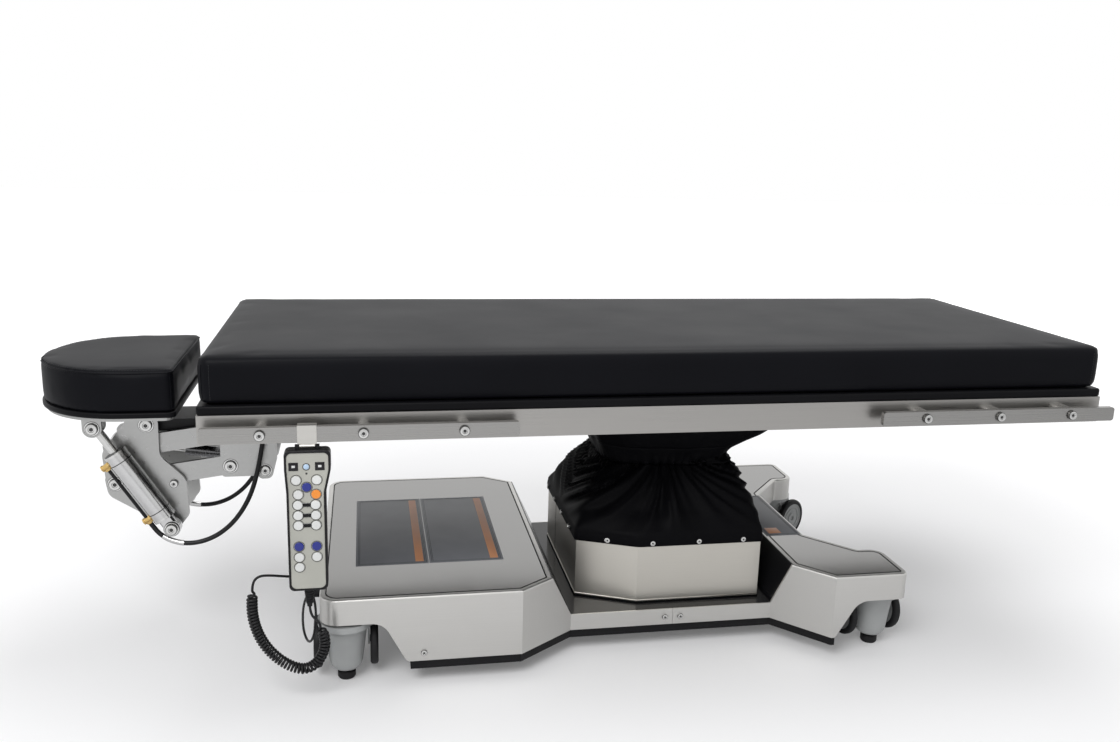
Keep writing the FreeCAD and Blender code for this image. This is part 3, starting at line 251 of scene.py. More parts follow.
# %% Hydraulic hoses
HOSE, FERRULE = 0.0085, 0.0098
HOSE_ROUTE = [(-780.0, -88, 234), (-774.7, -88, 225.6), (-764.0, -92, 212.5), (-745.0, -97, 201),
              (-720.0, -100, 194.5), (-692.0, -100, 196), (-663.0, -99, 207), (-637.0, -97, 227),
              (-616.0, -94, 254), (-600.0, -91, 286), (-590.0, -88, 320), (-583.0, -86, 353),
              (-577.0, -84, 386), (-573.0, -82, 415), (-572.4, -82, 439.9)]
ferrules = []
for side, sign in (("near", 1), ("far", -1)):
    line = smooth_line([(x, y * sign, z) for x, y, z in HOSE_ROUTE])
    steps = [["tilt_barrels", "head_carrier"], ["head_carrier", "upper_links"], ["upper_links", "tabletop"]]
    parts = cut_line(line, [0.25, 0.6])
    for number, (part, bodies) in enumerate(zip(parts, steps), 1):
        hose = cord_piece(f"hose_{side}_{number}", part, HOSE, bodies, 6)
    sleeve_line = cut_line(parts[0], [0.34, 0.74])[1]
    ferrule = tube("hose_ferrule_" + side, sleeve_line, FERRULE, 6)
    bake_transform(ferrule)
    ferrules.append(ferrule)
    if side == "near":
        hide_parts("head_hoses")
print("hoses placed")

# %% [markdown]
# Every finish starts from one shader with its colour, roughness and metal set on its own sockets.
# A noise pattern then varies the colour a little and adds a fine bump, which is what tells the
# eye that a surface is brushed, woven, grained or moulded.

# %% Material helpers
def shader(name, colour, rough, metal=0.0):
    material = bpy.data.materials.new(name)
    material.use_nodes = True
    tree = material.node_tree
    principled = tree.nodes["Principled BSDF"]
    principled.inputs["Base Color"].default_value = (*colour, 1.0)
    principled.inputs["Roughness"].default_value = rough
    principled.inputs["Metallic"].default_value = metal
    return material, tree, principled


def new_node(tree, kind, **values):
    """Adds a shader node and sets its inputs. An underscore stands for a space in a name."""
    made = tree.nodes.new("ShaderNode" + kind)
    for name, value in values.items():
        made.inputs[name.replace("_", " ")].default_value = value
    return made


def placed(tree, scale=(1, 1, 1)):
    mapping = new_node(tree, "Mapping", Scale=scale)
    tree.links.new(new_node(tree, "TexCoord").outputs["Object"], mapping.inputs["Vector"])
    return mapping.outputs["Vector"]


def speckle(tree, where, scale, detail=3.0):
    pattern = new_node(tree, "TexNoise", Scale=scale, Detail=detail)
    tree.links.new(where, pattern.inputs["Vector"])
    return pattern.outputs["Fac"]


def spread(tree, value, low, high, start=0.3, end=0.7):
    ranges = new_node(tree, "MapRange", From_Min=start, From_Max=end, To_Min=low, To_Max=high)
    tree.links.new(value, ranges.inputs["Value"])
    return ranges.outputs["Result"]


def tinted(tree, principled, value, colour, darker, lighter):
    ramp = new_node(tree, "ValToRGB")
    for element, place, factor in zip(ramp.color_ramp.elements, (0.3, 0.7), (darker, lighter)):
        element.position = place
        element.color = (*(c * factor for c in colour), 1.0)
    tree.links.new(value, ramp.inputs["Fac"])
    tree.links.new(ramp.outputs["Color"], principled.inputs["Base Color"])


def bumped(tree, principled, value, strength, distance):
    bump = new_node(tree, "Bump", Strength=strength, Distance=distance)
    tree.links.new(value, bump.inputs["Height"])
    tree.links.new(bump.outputs["Normal"], principled.inputs["Normal"])


def combined(tree, operation, first, second):
    result = new_node(tree, "Math")
    result.operation = operation
    tree.links.new(first, result.inputs[0])
    tree.links.new(second, result.inputs[1])
    return result.outputs["Value"]


print("material helpers ready")

# %% [markdown]
# Brushed stainless sheet has very long, very fine scratches in one direction. The noise is
# squeezed along the other two directions, so that it stretches into lines.

# %% Metals
def brushed(name, colour, rough, scale, grain=0.02):
    material, tree, principled = shader(name, colour, rough, 1.0)
    lines = speckle(tree, placed(tree, scale), 1.0, 4.0)
    clouds = speckle(tree, placed(tree), 7.0)
    tinted(tree, principled, lines, colour, 0.97, 1.02)
    fine, broad = spread(tree, lines, rough * 0.85, rough * 1.15), spread(tree, clouds, 0.92, 1.08)
    tree.links.new(combined(tree, "MULTIPLY", fine, broad), principled.inputs["Roughness"])
    bumped(tree, principled, lines, grain, 0.0003)
    return material


def plated(name, colour, rough, grain=160.0):
    material, tree, principled = shader(name, colour, rough, 1.0)
    fine = speckle(tree, placed(tree), grain)
    tree.links.new(spread(tree, fine, rough * 0.8, rough * 1.2), principled.inputs["Roughness"])
    tinted(tree, principled, fine, colour, 0.96, 1.03)
    bumped(tree, principled, fine, 0.03, 0.0003)
    return material


base_steel = brushed("brushed_base", (0.575, 0.568, 0.55), 0.40, (8, 1200, 1200))
casing_steel = brushed("brushed_casing", (0.565, 0.545, 0.50), 0.38, (8, 1200, 1200))
frame_steel = brushed("brushed_bar", (0.39, 0.38, 0.365), 0.32, (5, 700, 700), 0.05)
rail_steel = brushed("brushed_rail", (0.34, 0.335, 0.325), 0.28, (5, 700, 700), 0.04)
inlay_steel = brushed("satin_plate", (0.30, 0.297, 0.29), 0.15, (5, 900, 900))
column_steel = plated("machined_steel", (0.42, 0.43, 0.44), 0.35)
silver = plated("smooth_silver", (0.41, 0.411, 0.405), 0.34)
bright = plated("polished_steel", (0.62, 0.62, 0.61), 0.20)
barrel_steel = plated("turned_barrel", (0.56, 0.56, 0.56), 0.19)
dark_steel = plated("dark_steel", (0.16, 0.16, 0.165), 0.26)
# A near-black steel for painted shade: gaps round bolt heads and keys, sockets and grooves. It also draws a
# small dot under the handset lamp.
painted_shade = plated("recess_steel", (0.07, 0.07, 0.07), 0.40)
hook_steel = brushed("brushed_hook", (0.58, 0.57, 0.54), 0.34, (5, 700, 700), 0.05)
brass = plated("brass", (0.62, 0.43, 0.17), 0.26)
print("metals ready")

# %% [markdown]
# Vinyl has a shallow leather grain and a soft sheen. Moulded plastic has a finer and more even
# grain. Rubber is duller still. Each is a dark colour with its own grain size and roughness.

# %% Plastics, vinyl, rubber and cloth
def grained(name, colour, rough, grain, depth, specular=0.5, coat=0.0):
    material, tree, principled = shader(name, colour, rough)
    principled.inputs["Specular IOR Level"].default_value = specular
    where = placed(tree)
    fine = speckle(tree, where, grain)
    clouds = speckle(tree, where, 9.0)
    tinted(tree, principled, clouds, colour, 0.9, 1.12)
    tree.links.new(spread(tree, fine, rough * 0.92, rough * 1.08), principled.inputs["Roughness"])
    bumped(tree, principled, fine, depth, 0.0004)
    principled.inputs["Coat Weight"].default_value = coat
    principled.inputs["Coat Roughness"].default_value = 0.25
    return material


def leathery(name, colour, rough):
    material, tree, principled = shader(name, colour, rough)
    where = placed(tree)
    cells = new_node(tree, "TexVoronoi", Scale=900.0)
    tree.links.new(where, cells.inputs["Vector"])
    clouds = speckle(tree, where, 6.0)
    tinted(tree, principled, clouds, colour, 0.92, 1.1)
    tree.links.new(spread(tree, clouds, rough * 0.94, rough * 1.06), principled.inputs["Roughness"])
    bumped(tree, principled, cells.outputs["Distance"], 0.05, 0.0002)
    principled.inputs["Specular IOR Level"].default_value = 0.065
    return material


def woven(name, colour, rough):
    material, tree, principled = shader(name, colour, rough)
    where = placed(tree)
    threads = new_node(tree, "TexWave", Scale=260.0, Distortion=1.5)
    threads.bands_direction = "DIAGONAL"
    tree.links.new(where, threads.inputs["Vector"])
    clouds = speckle(tree, where, 14.0)
    tinted(tree, principled, clouds, colour, 0.85, 1.15)
    bumped(tree, principled, threads.outputs["Fac"], 0.12, 0.0003)
    principled.inputs["Specular IOR Level"].default_value = 0.05
    return material


vinyl = leathery("black_vinyl", (0.0042, 0.0044, 0.0060), 0.42)
thread = grained("black_thread", (0.012, 0.012, 0.014), 0.5, 900.0, 0.05)
cloth = woven("black_cloth", (0.0022, 0.0022, 0.0029), 0.55)
black_gloss = grained("gloss_black", (0.007, 0.007, 0.008), 0.16, 500.0, 0.01, 0.30)
black_paint = grained("satin_black", (0.008, 0.008, 0.009), 0.40, 400.0, 0.03, 0.15)
black_plastic = grained("moulded_black", (0.009, 0.009, 0.010), 0.36, 900.0, 0.05, 0.20)
board_black = grained("board_black", (0.005, 0.005, 0.006), 0.40, 500.0, 0.03, 0.08)
# A near-black for painted shade in joints and seams.
gap_shade = grained("dark_gasket", (0.004, 0.004, 0.004), 0.60, 900.0, 0.02, 0.05)
grey_paint = grained("grey_housing", (0.34, 0.35, 0.35), 0.34, 420.0, 0.03, coat=0.15)
grey_plastic = grained("handset_grey", (0.42, 0.42, 0.38), 0.42, 800.0, 0.03, 0.3)
rubber = grained("tyre_rubber", (0.010, 0.010, 0.011), 0.55, 300.0, 0.10, 0.25)
cord_rubber = grained("cord_rubber", (0.008, 0.008, 0.009), 0.38, 600.0, 0.04, 0.25)
label_grey = grained("label_grey", (0.20, 0.207, 0.225), 0.42, 700.0, 0.02, 0.3)
label_line = grained("label_line", (0.045, 0.05, 0.06), 0.42, 700.0, 0.02, 0.3)
label_orange = grained("label_orange", (0.66, 0.30, 0.15), 0.42, 700.0, 0.02, 0.3)
lamp_blue = grained("lamp_blue", (0.45, 0.60, 0.78), 0.20, 800.0, 0.01, coat=0.3)
white_key = grained("key_white", (0.68, 0.69, 0.68), 0.34, 800.0, 0.02)
blue_key = grained("key_blue", (0.012, 0.022, 0.22), 0.30, 800.0, 0.02)
orange_key = grained("key_orange", (0.80, 0.26, 0.03), 0.32, 800.0, 0.02)
for piece in cords:
    piece.data.materials.append(cord_rubber)
for piece in ferrules:
    piece.data.materials.append(barrel_steel)
print(len(bpy.data.materials), "materials")

# %% [markdown]
# The rigid nodes already have the right shape, so they keep it and only get a finish. Each row
# names a finish, then the first letters of the nodes that take it.

# %% Finishes of the solid nodes
FINISHES = (
    (black_paint, "chassis", "power_pack"), (base_steel, "base_cover_"), (black_gloss, "deck_panel"),
    (inlay_steel, "inlay_plates"), (bright, "cover_screws", "tilt_rods", "strut_rod"),
    (grey_paint, "foot_cups", "caster_fork_"), (casing_steel, "column_casing"),
    (column_steel, "mast_", "tilt_block"), (rubber, "floor_feet", "caster_wheels_"),
    (black_plastic, "cord_socket", "bumper_block", "handset_shell"), (frame_steel, "table_frame"),
    (board_black, "top_board"), (rail_steel, "accessory_rails"), (dark_steel, "strut_barrel"),
    (silver, "head_brackets", "upper_links", "lower_links", "head_carrier", "head_plate"),
    (barrel_steel, "tilt_barrels"), (hook_steel, "handset_hook"), (grey_plastic, "handset_face"),
    (white_key, "key_white", "rocker_"), (blue_key, "key_blue"), (orange_key, "key_orange"))
for name, node in nodes.items():
    finish = next((row[0] for row in FINISHES if name.startswith(row[1:])), None)
    if finish is None:
        print("soft node, replaced later:", name)
        continue
    for place in node.material_slots:
        place.material = finish

# %% [markdown]
# New pieces are built as a small mesh, finished in one place. Flat faces stay crisp and round
# ones shade smoothly, because only edges sharper than a set angle are marked.

# %% Piece helpers
def finished(name, bm, material, body, angle=35.0):
    bmesh.ops.recalc_face_normals(bm, faces=bm.faces[:])
    mesh = bpy.data.meshes.new(name)
    bm.to_mesh(mesh)
    bm.free()
    piece = smoothed(link(mesh, name))
    mesh.set_sharp_from_angle(angle=math.radians(angle))
    mesh.materials.append(material)
    if body:
        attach(piece, body)
    return piece


def points_of(geometry):
    return [g for g in geometry if isinstance(g, bmesh.types.BMVert)]


def level_edges(bm):
    return [e for e in bm.edges if abs(e.verts[0].co.z - e.verts[1].co.z) < 1e-6]


def round_off(bm, edges, offset, segments):
    bmesh.ops.bevel(bm, geom=edges, offset=offset, segments=segments, profile=0.5, affect="EDGES",
                    material=-1)


def raised(bm, faces, height):
    """Extrudes the faces upwards, and returns what that made."""
    made = bmesh.ops.extrude_face_region(bm, geom=faces)["geom"]
    bmesh.ops.translate(bm, vec=(0, 0, height), verts=points_of(made))
    return made


def block(bm, low, high, edge=0.0005):
    """Adds a box with rounded edges to bm, from one corner to the other, in millimetres."""
    size = [(b - a) / 1000.0 for a, b in zip(low, high)]
    middle = [(a + b) / 2000.0 for a, b in zip(low, high)]
    made = bmesh.ops.create_cube(bm, size=1.0)["verts"]
    bmesh.ops.scale(bm, vec=size, verts=made)
    bmesh.ops.translate(bm, vec=middle, verts=made)
    edges = list({e for v in made for e in v.link_edges})
    round_off(bm, edges, edge, 2)


def set_at(bm, first, centre, out):
    """Turns every point joined to first so that it faces out, and moves it to centre, in millimetres."""
    made, waiting = {first}, [first]
    while waiting:
        for edge in waiting.pop().link_edges:
            for point in edge.verts:
                if point not in made:
                    made.add(point)
                    waiting.append(point)
    turn = Vector((0, 0, 1)).rotation_difference(Vector(out)).to_matrix()
    bmesh.ops.rotate(bm, cent=(0, 0, 0), matrix=turn, verts=list(made))
    bmesh.ops.translate(bm, vec=Vector(centre) * 0.001, verts=list(made))


def socket_head(bm, centre, out, radius, height):
    """Adds a bolt head with a dished socket. out is the way the head faces."""
    disc = bmesh.ops.create_circle(bm, cap_ends=True, radius=radius, segments=24)["verts"]
    walls = raised(bm, [disc[0].link_faces[0]], height)
    cap = [g for g in walls if isinstance(g, bmesh.types.BMFace)]
    bmesh.ops.inset_region(bm, faces=cap, thickness=radius * 0.16, depth=height * 0.25)
    bmesh.ops.inset_region(bm, faces=cap, thickness=radius * 0.26)
    bmesh.ops.inset_region(bm, faces=cap, thickness=radius * 0.08, depth=-height * 0.9)
    set_at(bm, cap[0].verts[0], centre, out)


def washer(bm, centre, out, outer, inner, thick, sides=32):
    """Adds a flat ring, or a disc where inner is 0. Sizes and places are millimetres."""
    edge = bmesh.ops.create_circle(bm, cap_ends=True, radius=outer / 1000.0, segments=sides)["verts"]
    flat = [edge[0].link_faces[0]]
    if inner:
        hole = flat
        width = (outer - inner) / 1000.0
        flat = bmesh.ops.inset_region(bm, faces=hole, use_boundary=True, thickness=width)["faces"]
        bmesh.ops.delete(bm, geom=hole, context="FACES_ONLY")
    set_at(bm, points_of(raised(bm, flat, thick / 1000.0))[0], centre, out)


def surface_of(mesh):
    corners = [v.co for v in mesh.vertices]
    return BVHTree.FromPolygons(corners, [tuple(p.vertices) for p in mesh.polygons])


def stitches(name, mesh, path, body, length=3.0, gap=1.8, thick=0.45):
    """Lays short thread stitches on a mesh, along the line of points in path."""
    surface = surface_of(mesh)
    bm = bmesh.new()
    travelled = due = 0.0
    for a, b in zip(path, path[1:]):
        run = (b - a).length
        while due < travelled + run:
            spot = a + (b - a) * ((due - travelled) / run)
            place, normal = surface.find_nearest(spot)[:2]
            made = bmesh.ops.create_cube(bm, size=1.0)["verts"]
            bmesh.ops.scale(bm, vec=(length / 1000.0, thick / 1000.0, thick / 1000.0), verts=made)
            along = (b - a).normalized()
            across = normal.cross(along).normalized()
            turn = Matrix((along, across, along.cross(across))).transposed()
            bmesh.ops.rotate(bm, cent=(0, 0, 0), matrix=turn, verts=made)
            bmesh.ops.translate(bm, vec=place + normal * 0.0001, verts=made)
            due += (length + gap) / 1000.0
        travelled += run
    finished(name, bm, thread, body)


print("piece helpers ready")

# %% [markdown]
# A foam pad in a vinyl cover is a box that swells a little. The solid block is copied, given a
# fine even mesh, and blown up gently by a cloth simulation whose reach is capped.

# %% Pad helpers
SWELL_FRAMES = 20


def evaluated(piece):
    mesh = bpy.data.meshes.new_from_object(piece.evaluated_get(bpy.context.evaluated_depsgraph_get()))
    old = piece.data
    piece.modifiers.clear()
    piece.data = mesh
    bpy.data.meshes.remove(old)


def remeshed(piece, voxel):
    piece.modifiers.new("even", "REMESH").voxel_size = voxel
    evaluated(piece)


def swollen(piece, pressure, cap, smoothing):
    """Blows the piece up. Only the outward part of each move stays, evened out over its neighbours."""
    before = [v.co.copy() for v in piece.data.vertices]
    normals = [v.normal.copy() for v in piece.data.vertices]
    press = piece.modifiers.new("swell", "CLOTH")
    press.settings.quality = 4
    press.settings.use_pressure = True
    press.settings.uniform_pressure_force = pressure
    press.settings.tension_stiffness = 20
    press.settings.compression_stiffness = 20
    press.settings.effector_weights.gravity = 0.0
    press.point_cache.frame_end = SWELL_FRAMES
    for number in range(1, SWELL_FRAMES + 1):
        scene.frame_set(number)
    evaluated(piece)
    moves = [v.co - b for v, b in zip(piece.data.vertices, before)]
    moves = [m - n * min(0.0, m.dot(n)) for m, n in zip(moves, normals)]
    for _ in range(smoothing):
        sums = [m.copy() for m in moves]
        counts = [1] * len(moves)
        for edge in piece.data.edges:
            a, b = edge.vertices
            sums[a] += moves[b]
            sums[b] += moves[a]
            counts[a] += 1
            counts[b] += 1
        moves = [s / c for s, c in zip(sums, counts)]
    for vertex, start, move in zip(piece.data.vertices, before, moves):
        vertex.co = start + (move.normalized() * cap if move.length > cap else move)
    scene.frame_set(1)


print("pad helpers ready")

# %% [markdown]
# The mattress is a block with rounded corners and rims. Once it has swelled, its top gets a faint
# ripple, and its underside is kept on the board.

# %% Mattress
low, high = (Vector(corner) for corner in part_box("mattress"))
shrink = Vector((0.003, 0.003, 0.001))
inner_low, inner_high = low + shrink, high - shrink
bm = bmesh.new()
bmesh.ops.create_cube(bm, size=1.0)
bmesh.ops.scale(bm, vec=inner_high - inner_low, verts=bm.verts[:])
bmesh.ops.translate(bm, vec=(inner_low + inner_high) / 2, verts=bm.verts[:])
upright = [e for e in bm.edges if abs(e.verts[0].co.z - e.verts[1].co.z) > 0.01]
round_off(bm, upright, 0.018, 5)
outer = [e for e in level_edges(bm) if any(abs(f.normal.z) > 0.9 for f in e.link_faces)]
round_off(bm, outer, 0.011, 4)
mattress = finished("mattress_cover", bm, vinyl, None)
remeshed(mattress, voxel=0.007)
swollen(mattress, pressure=4.0, cap=0.004, smoothing=2)
for vertex in mattress.data.vertices:
    share = (vertex.co.z - low.z) / (high.z - low.z)
    inside = min(vertex.co.x - low.x, high.x - vertex.co.x, vertex.co.y - low.y, high.y - vertex.co.y)
    if share > 0.7:
        ripple = noise.noise(Vector((vertex.co.x * 5, vertex.co.y * 9, 0.5)))
        vertex.co.z += 0.0006 * ripple * clamped(inside / 0.03)
        vertex.co.z = min(vertex.co.z, high.z + 0.004)
    if share < 0.12:
        vertex.co.z = max(vertex.co.z, low.z)
smoothed(mattress)
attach(mattress, "tabletop")
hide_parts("mattress")
print("mattress of", len(mattress.data.vertices), "points")

# %% [markdown]
# The mattress cover is closed by a sewn seam down each corner. A thin cord of vinyl marks the fold,
# and a row of stitches runs down beside it. Both follow the swollen surface, so they are made last.

# %% Mattress seams
def on_surface(mesh, points, lift):
    surface = surface_of(mesh)
    found = [surface.find_nearest(point)[:2] for point in points]
    return [place + normal * lift for place, normal in found]


def seam(name, line, thickness, body, closed=False):
    piece = tube(name, line + line[:1] if closed else line, thickness, 3)
    piece.data.materials.append(vinyl)
    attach(piece, body)


SEAM_IN, SEAM_LIFT, SEAM_THICK = 0.0085, 0.0002, 0.0012
for number, (x, y) in enumerate(((low.x, low.y), (high.x, low.y), (high.x, high.y), (low.x, high.y)), 1):
    toward_x = SEAM_IN if x == low.x else -SEAM_IN
    toward_y = SEAM_IN if y == low.y else -SEAM_IN
    heights = [low.z + 0.008 + (high.z - low.z - 0.020) * step / 12 for step in range(13)]
    spots = [Vector((x + toward_x, y + toward_y, z)) for z in heights]
    corner = on_surface(mattress.data, spots, SEAM_LIFT)
    seam(f"mattress_seam_{number}", corner, SEAM_THICK, "tabletop")
    beside = [Vector((x + toward_x * 2.6, y, z)) for z in heights]
    stitches(f"mattress_stitches_{number}", mattress.data, beside, "tabletop")
print("mattress corners sewn")

# %% [markdown]
# The head pad is a D in plan: a half circle at the head end and square corners next to the
# mattress. Its top panel is sewn on with a narrow piped seam all round.

# %% Head pad
pad_low, pad_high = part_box("head_pad")
PAD_BASE = 0.4578
HEAD_HALF = pad_high[1] - 0.001
HEAD_FLAT = pad_high[0] - 0.001
HEAD_ROUND = pad_low[0] + 0.001 + HEAD_HALF


def d_outline(inset, corner=0.012, around=40):
    """Points of the D, in order, as a line: round end at -X, square end at +X."""
    points = []
    radius = HEAD_HALF - inset
    for step in range(around + 1):
        angle = math.pi / 2 + math.pi * step / around
        points.append((HEAD_ROUND + radius * math.cos(angle), radius * math.sin(angle)))
    edge = HEAD_FLAT - inset
    for sign, start in ((-1, -90), (1, 0)):
        for step in range(6):
            angle = math.radians(start + 90 * step / 5)
            y = sign * (radius - corner) + corner * math.sin(angle)
            points.append((edge - corner + corner * math.cos(angle), y))
    return points


def d_solid(inset, z, height):
    bm = bmesh.new()
    rim = [bm.verts.new((x, y, z)) for x, y in d_outline(inset)]
    raised(bm, [bm.faces.new(rim)], height)
    return bm


bm = d_solid(0.0015, PAD_BASE, pad_high[2] - PAD_BASE - 0.001)
head_pad = finished("head_pad_cover", bm, vinyl, None)
remeshed(head_pad, voxel=0.005)
swollen(head_pad, pressure=2.5, cap=0.003, smoothing=6)
top = pad_high[2]
for vertex in head_pad.data.vertices:
    x, y, z = vertex.co
    out = math.hypot(min(0.0, x - HEAD_ROUND), y)
    inside = min(HEAD_HALF - out, HEAD_FLAT - x)
    if z > top - 0.012:
        vertex.co.z -= 0.0035 * (1 - clamped(inside / 0.012)) ** 2
    vertex.co.z = min(max(vertex.co.z, PAD_BASE), top + 0.003)
smoothed(head_pad)
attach(head_pad, "head_section")
print("head pad of", len(head_pad.data.vertices), "points")

# %% [markdown]
# The piping, the stitches and the corner seams of the head pad follow its swollen surface. The board
# under it is a thin D with softened edges.

# %% Piped seams and the head board
welt = [Vector((x, y, top - 0.0045)) for x, y in d_outline(0.0006)]
seam("head_pad_welt", on_surface(head_pad.data, welt, 0.0004), 0.0030, "head_section", True)
inner_row = [Vector((x, y, top)) for x, y in d_outline(0.0065)]
stitches("head_pad_stitches", head_pad.data, inner_row + inner_row[:1], "head_section")
for number, sign in enumerate((-1, 1), 1):
    heights = [PAD_BASE + 0.004 + 0.0115 * step / 2 for step in range(12)]
    spots = [Vector((HEAD_FLAT - 0.004, sign * (HEAD_HALF - 0.004), z)) for z in heights]
    corner = on_surface(head_pad.data, spots, SEAM_LIFT)
    seam(f"head_pad_seam_{number}", corner, SEAM_THICK, "head_section")
BOARD_DROP, BOARD_THICK = 0.0104, 0.0098
bm = d_solid(-0.0008, PAD_BASE - BOARD_DROP, BOARD_THICK)
round_off(bm, level_edges(bm), 0.0025, 3)
head_board = finished("head_board", bm, board_black, "head_section")
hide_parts("head_pad")
print("head pad seam and board placed")

# %% [markdown]
# The shroud is a cloth sleeve: its hem is buttoned round the steel casing, and an elastic draws
# it in below the table. Each level is a ring. The ring starts as a circle, and every point moves
# out to a six-sided outline whose corners get softer towards the elastic. Pleats and slanting
# folds are then added to each point's distance from the middle.

# %% Shroud helpers
MIDDLE = Vector((0.170, 0.0))
TURN_AT = math.radians(24.2)
FACES = [(0.0, "foot"), (math.pi, "head"), (math.pi / 2, "side"), (-math.pi / 2, "side"),
         (math.pi / 2 + TURN_AT, "chamfer"), (-math.pi / 2 - TURN_AT, "chamfer")]
LEVELS = [(0.1885, 179.5, 178.5, 202.5, 212, 150), (0.2030, 179.8, 178.8, 202.8, 212.3, 150),
          (0.2045, 178.6, 177.6, 201.6, 211.1, 110), (0.2100, 179.5, 178.5, 202, 211.5, 60),
          (0.240, 180, 168, 186, 197, 16), (0.285, 160, 144, 154, 166, 9), (0.3215, 137, 110, 121, 130, 6),
          (0.340, 148, 116, 128, 136, 7), (0.372, 200, 131, 145, 152, 8), (0.405, 230, 145, 160, 168, 9),
          (0.4395, 255, 155, 171, 180, 12)]


def level_at(z):
    for (z0, *a), (z1, *b) in zip(LEVELS, LEVELS[1:]):
        if z <= z1:
            share = clamped((z - z0) / (z1 - z0))
            return [p + (q - p) * share for p, q in zip(a, b)]
    return LEVELS[-1][1:]


def shifted(angle, z):
    """The elastic sits higher at the foot side, so the levels near it are read from lower down there."""
    near = clamped((z - 0.22) / 0.08) * clamped((0.43 - z) / 0.06)
    return z - 0.022 * max(0.0, math.cos(angle)) ** 2 * near


def reach(angle, z):
    foot, head, side, chamfer, power = level_at(z)
    far = {"foot": foot, "head": head, "side": side, "chamfer": chamfer}
    total = sum(max(0.0, math.cos(angle - at) * 200.0 / far[name]) ** power for at, name in FACES)
    return 0.2 * total ** (-1.0 / power)


GATHER_AT = math.radians(-86)


def folds(angle, z):
    """Pleats at the elastic in front and behind, and long folds that fan out below them."""
    turn = -abs(angle) - GATHER_AT
    front = math.exp(-(turn / 0.50) ** 2)
    gather = math.exp(-((z - 0.3215) / 0.015) ** 2) * (0.2 + 0.8 * front)
    pleats = 0.0032 * gather * math.sin(angle * 46 + 2.2 * math.sin(angle * 5))
    pleats += 0.0030 * gather * noise.noise(Vector((angle * 20, z * 20, 3.0)))
    drop = max(0.0, 0.330 - z)
    lower_part = clamped((z - 0.212) / 0.035) * clamped((0.328 - z) / 0.012)
    spray = turn / (drop + 0.045)
    drape = abs(noise.noise(Vector((spray * 0.75, drop * 5.0, 1.0)))) * 2.0
    creases = abs(noise.noise(Vector((spray * 0.30 + 4.0, z * 7.0, 5.0)))) * 2.0
    upper_part = clamped((z - 0.33) / 0.03) * clamped((0.437 - z) / 0.03)
    fan = noise.noise(Vector((angle * 4.0, z * 7.0, 7.0)))
    slack = 0.012 * lower_part * (0.30 - drape) - 0.005 * lower_part * creases
    return pleats + slack + 0.009 * upper_part * fan


def sleeve(name, z_low, z_high, steps, around=360):
    bm = bmesh.new()
    ring = bmesh.ops.create_circle(bm, radius=1.0, segments=around)["verts"]
    angles = {v: math.atan2(v.co.y, v.co.x) for v in ring}
    edges = list({e for v in ring for e in v.link_edges})
    for step in range(steps + 1):
        z = z_low + (z_high - z_low) * step / steps
        for vertex, angle in angles.items():
            level = shifted(angle, z)
            far = reach(angle, level) + folds(angle, level)
            vertex.co = (MIDDLE.x + far * math.cos(angle), MIDDLE.y + far * math.sin(angle), z)
        if step == steps:
            break
        grown = bmesh.ops.extrude_edge_only(bm, edges=edges)["geom"]
        edges = [g for g in grown if isinstance(g, bmesh.types.BMEdge)]
        angles = {v: math.atan2(v.co.y - MIDDLE.y, v.co.x - MIDDLE.x) for v in points_of(grown)}
    return finished(name, bm, cloth, None, 60.0)


print("shroud helpers ready")

# %% [markdown]
# The sleeve is made in four lengths. Each one is listed with the two bodies that it spans, but
# the pieces are fixed where they lie and do not follow the table.

# %% Shroud
for name, z_low, z_high, steps, pair in (
        ("shroud_skirt", 0.1885, 0.3215, 34, ("base", "mast_middle")),
        ("shroud_neck", 0.3215, 0.358, 10, ("mast_middle", "mast_inner")),
        ("shroud_shoulder", 0.358, 0.398, 10, ("mast_inner", "tilt_block")),
        ("shroud_flare", 0.398, 0.4395, 10, ("tilt_block", "tabletop"))):
    piece = sleeve(name, z_low, z_high, steps)
    thick = piece.modifiers.new("cloth", "SOLIDIFY")
    thick.thickness = 0.0012
    evaluated(piece)
    start = 0.212 if name == "shroud_skirt" else z_low
    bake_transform(piece)
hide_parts("shroud_lower")
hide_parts("shroud_upper")

# %% [markdown]
# Twin casters have a black tyre round a grey disc. Both are turned shapes: a half profile is
# spun once round the axle, then set on each side of the swivel.

# %% Caster wheels
def turned(profile, axis_point, axis, steps=64):
    """Spins a closed profile of (distance along the axle, radius) in millimetres."""
    bm = bmesh.new()
    loop = [bm.verts.new((a * 0.001, 0.0, r * 0.001)) for a, r in profile]
    edges = [bm.edges.new((p, q)) for p, q in zip(loop, loop[1:] + loop[:1])]
    bmesh.ops.spin(bm, geom=loop + edges, cent=(0, 0, 0), axis=(1, 0, 0), angle=math.tau, steps=steps,
                   use_merge=True)
    bmesh.ops.remove_doubles(bm, verts=bm.verts[:], dist=1e-6)
    turn = Vector((1, 0, 0)).rotation_difference(Vector(axis)).to_matrix()
    bmesh.ops.rotate(bm, cent=(0, 0, 0), matrix=turn, verts=bm.verts[:])
    bmesh.ops.translate(bm, vec=axis_point, verts=bm.verts[:])
    return bm


def joined(first, second):
    mesh = bpy.data.meshes.new("part")
    second.to_mesh(mesh)
    second.free()
    first.from_mesh(mesh)
    bpy.data.meshes.remove(mesh)
    return first


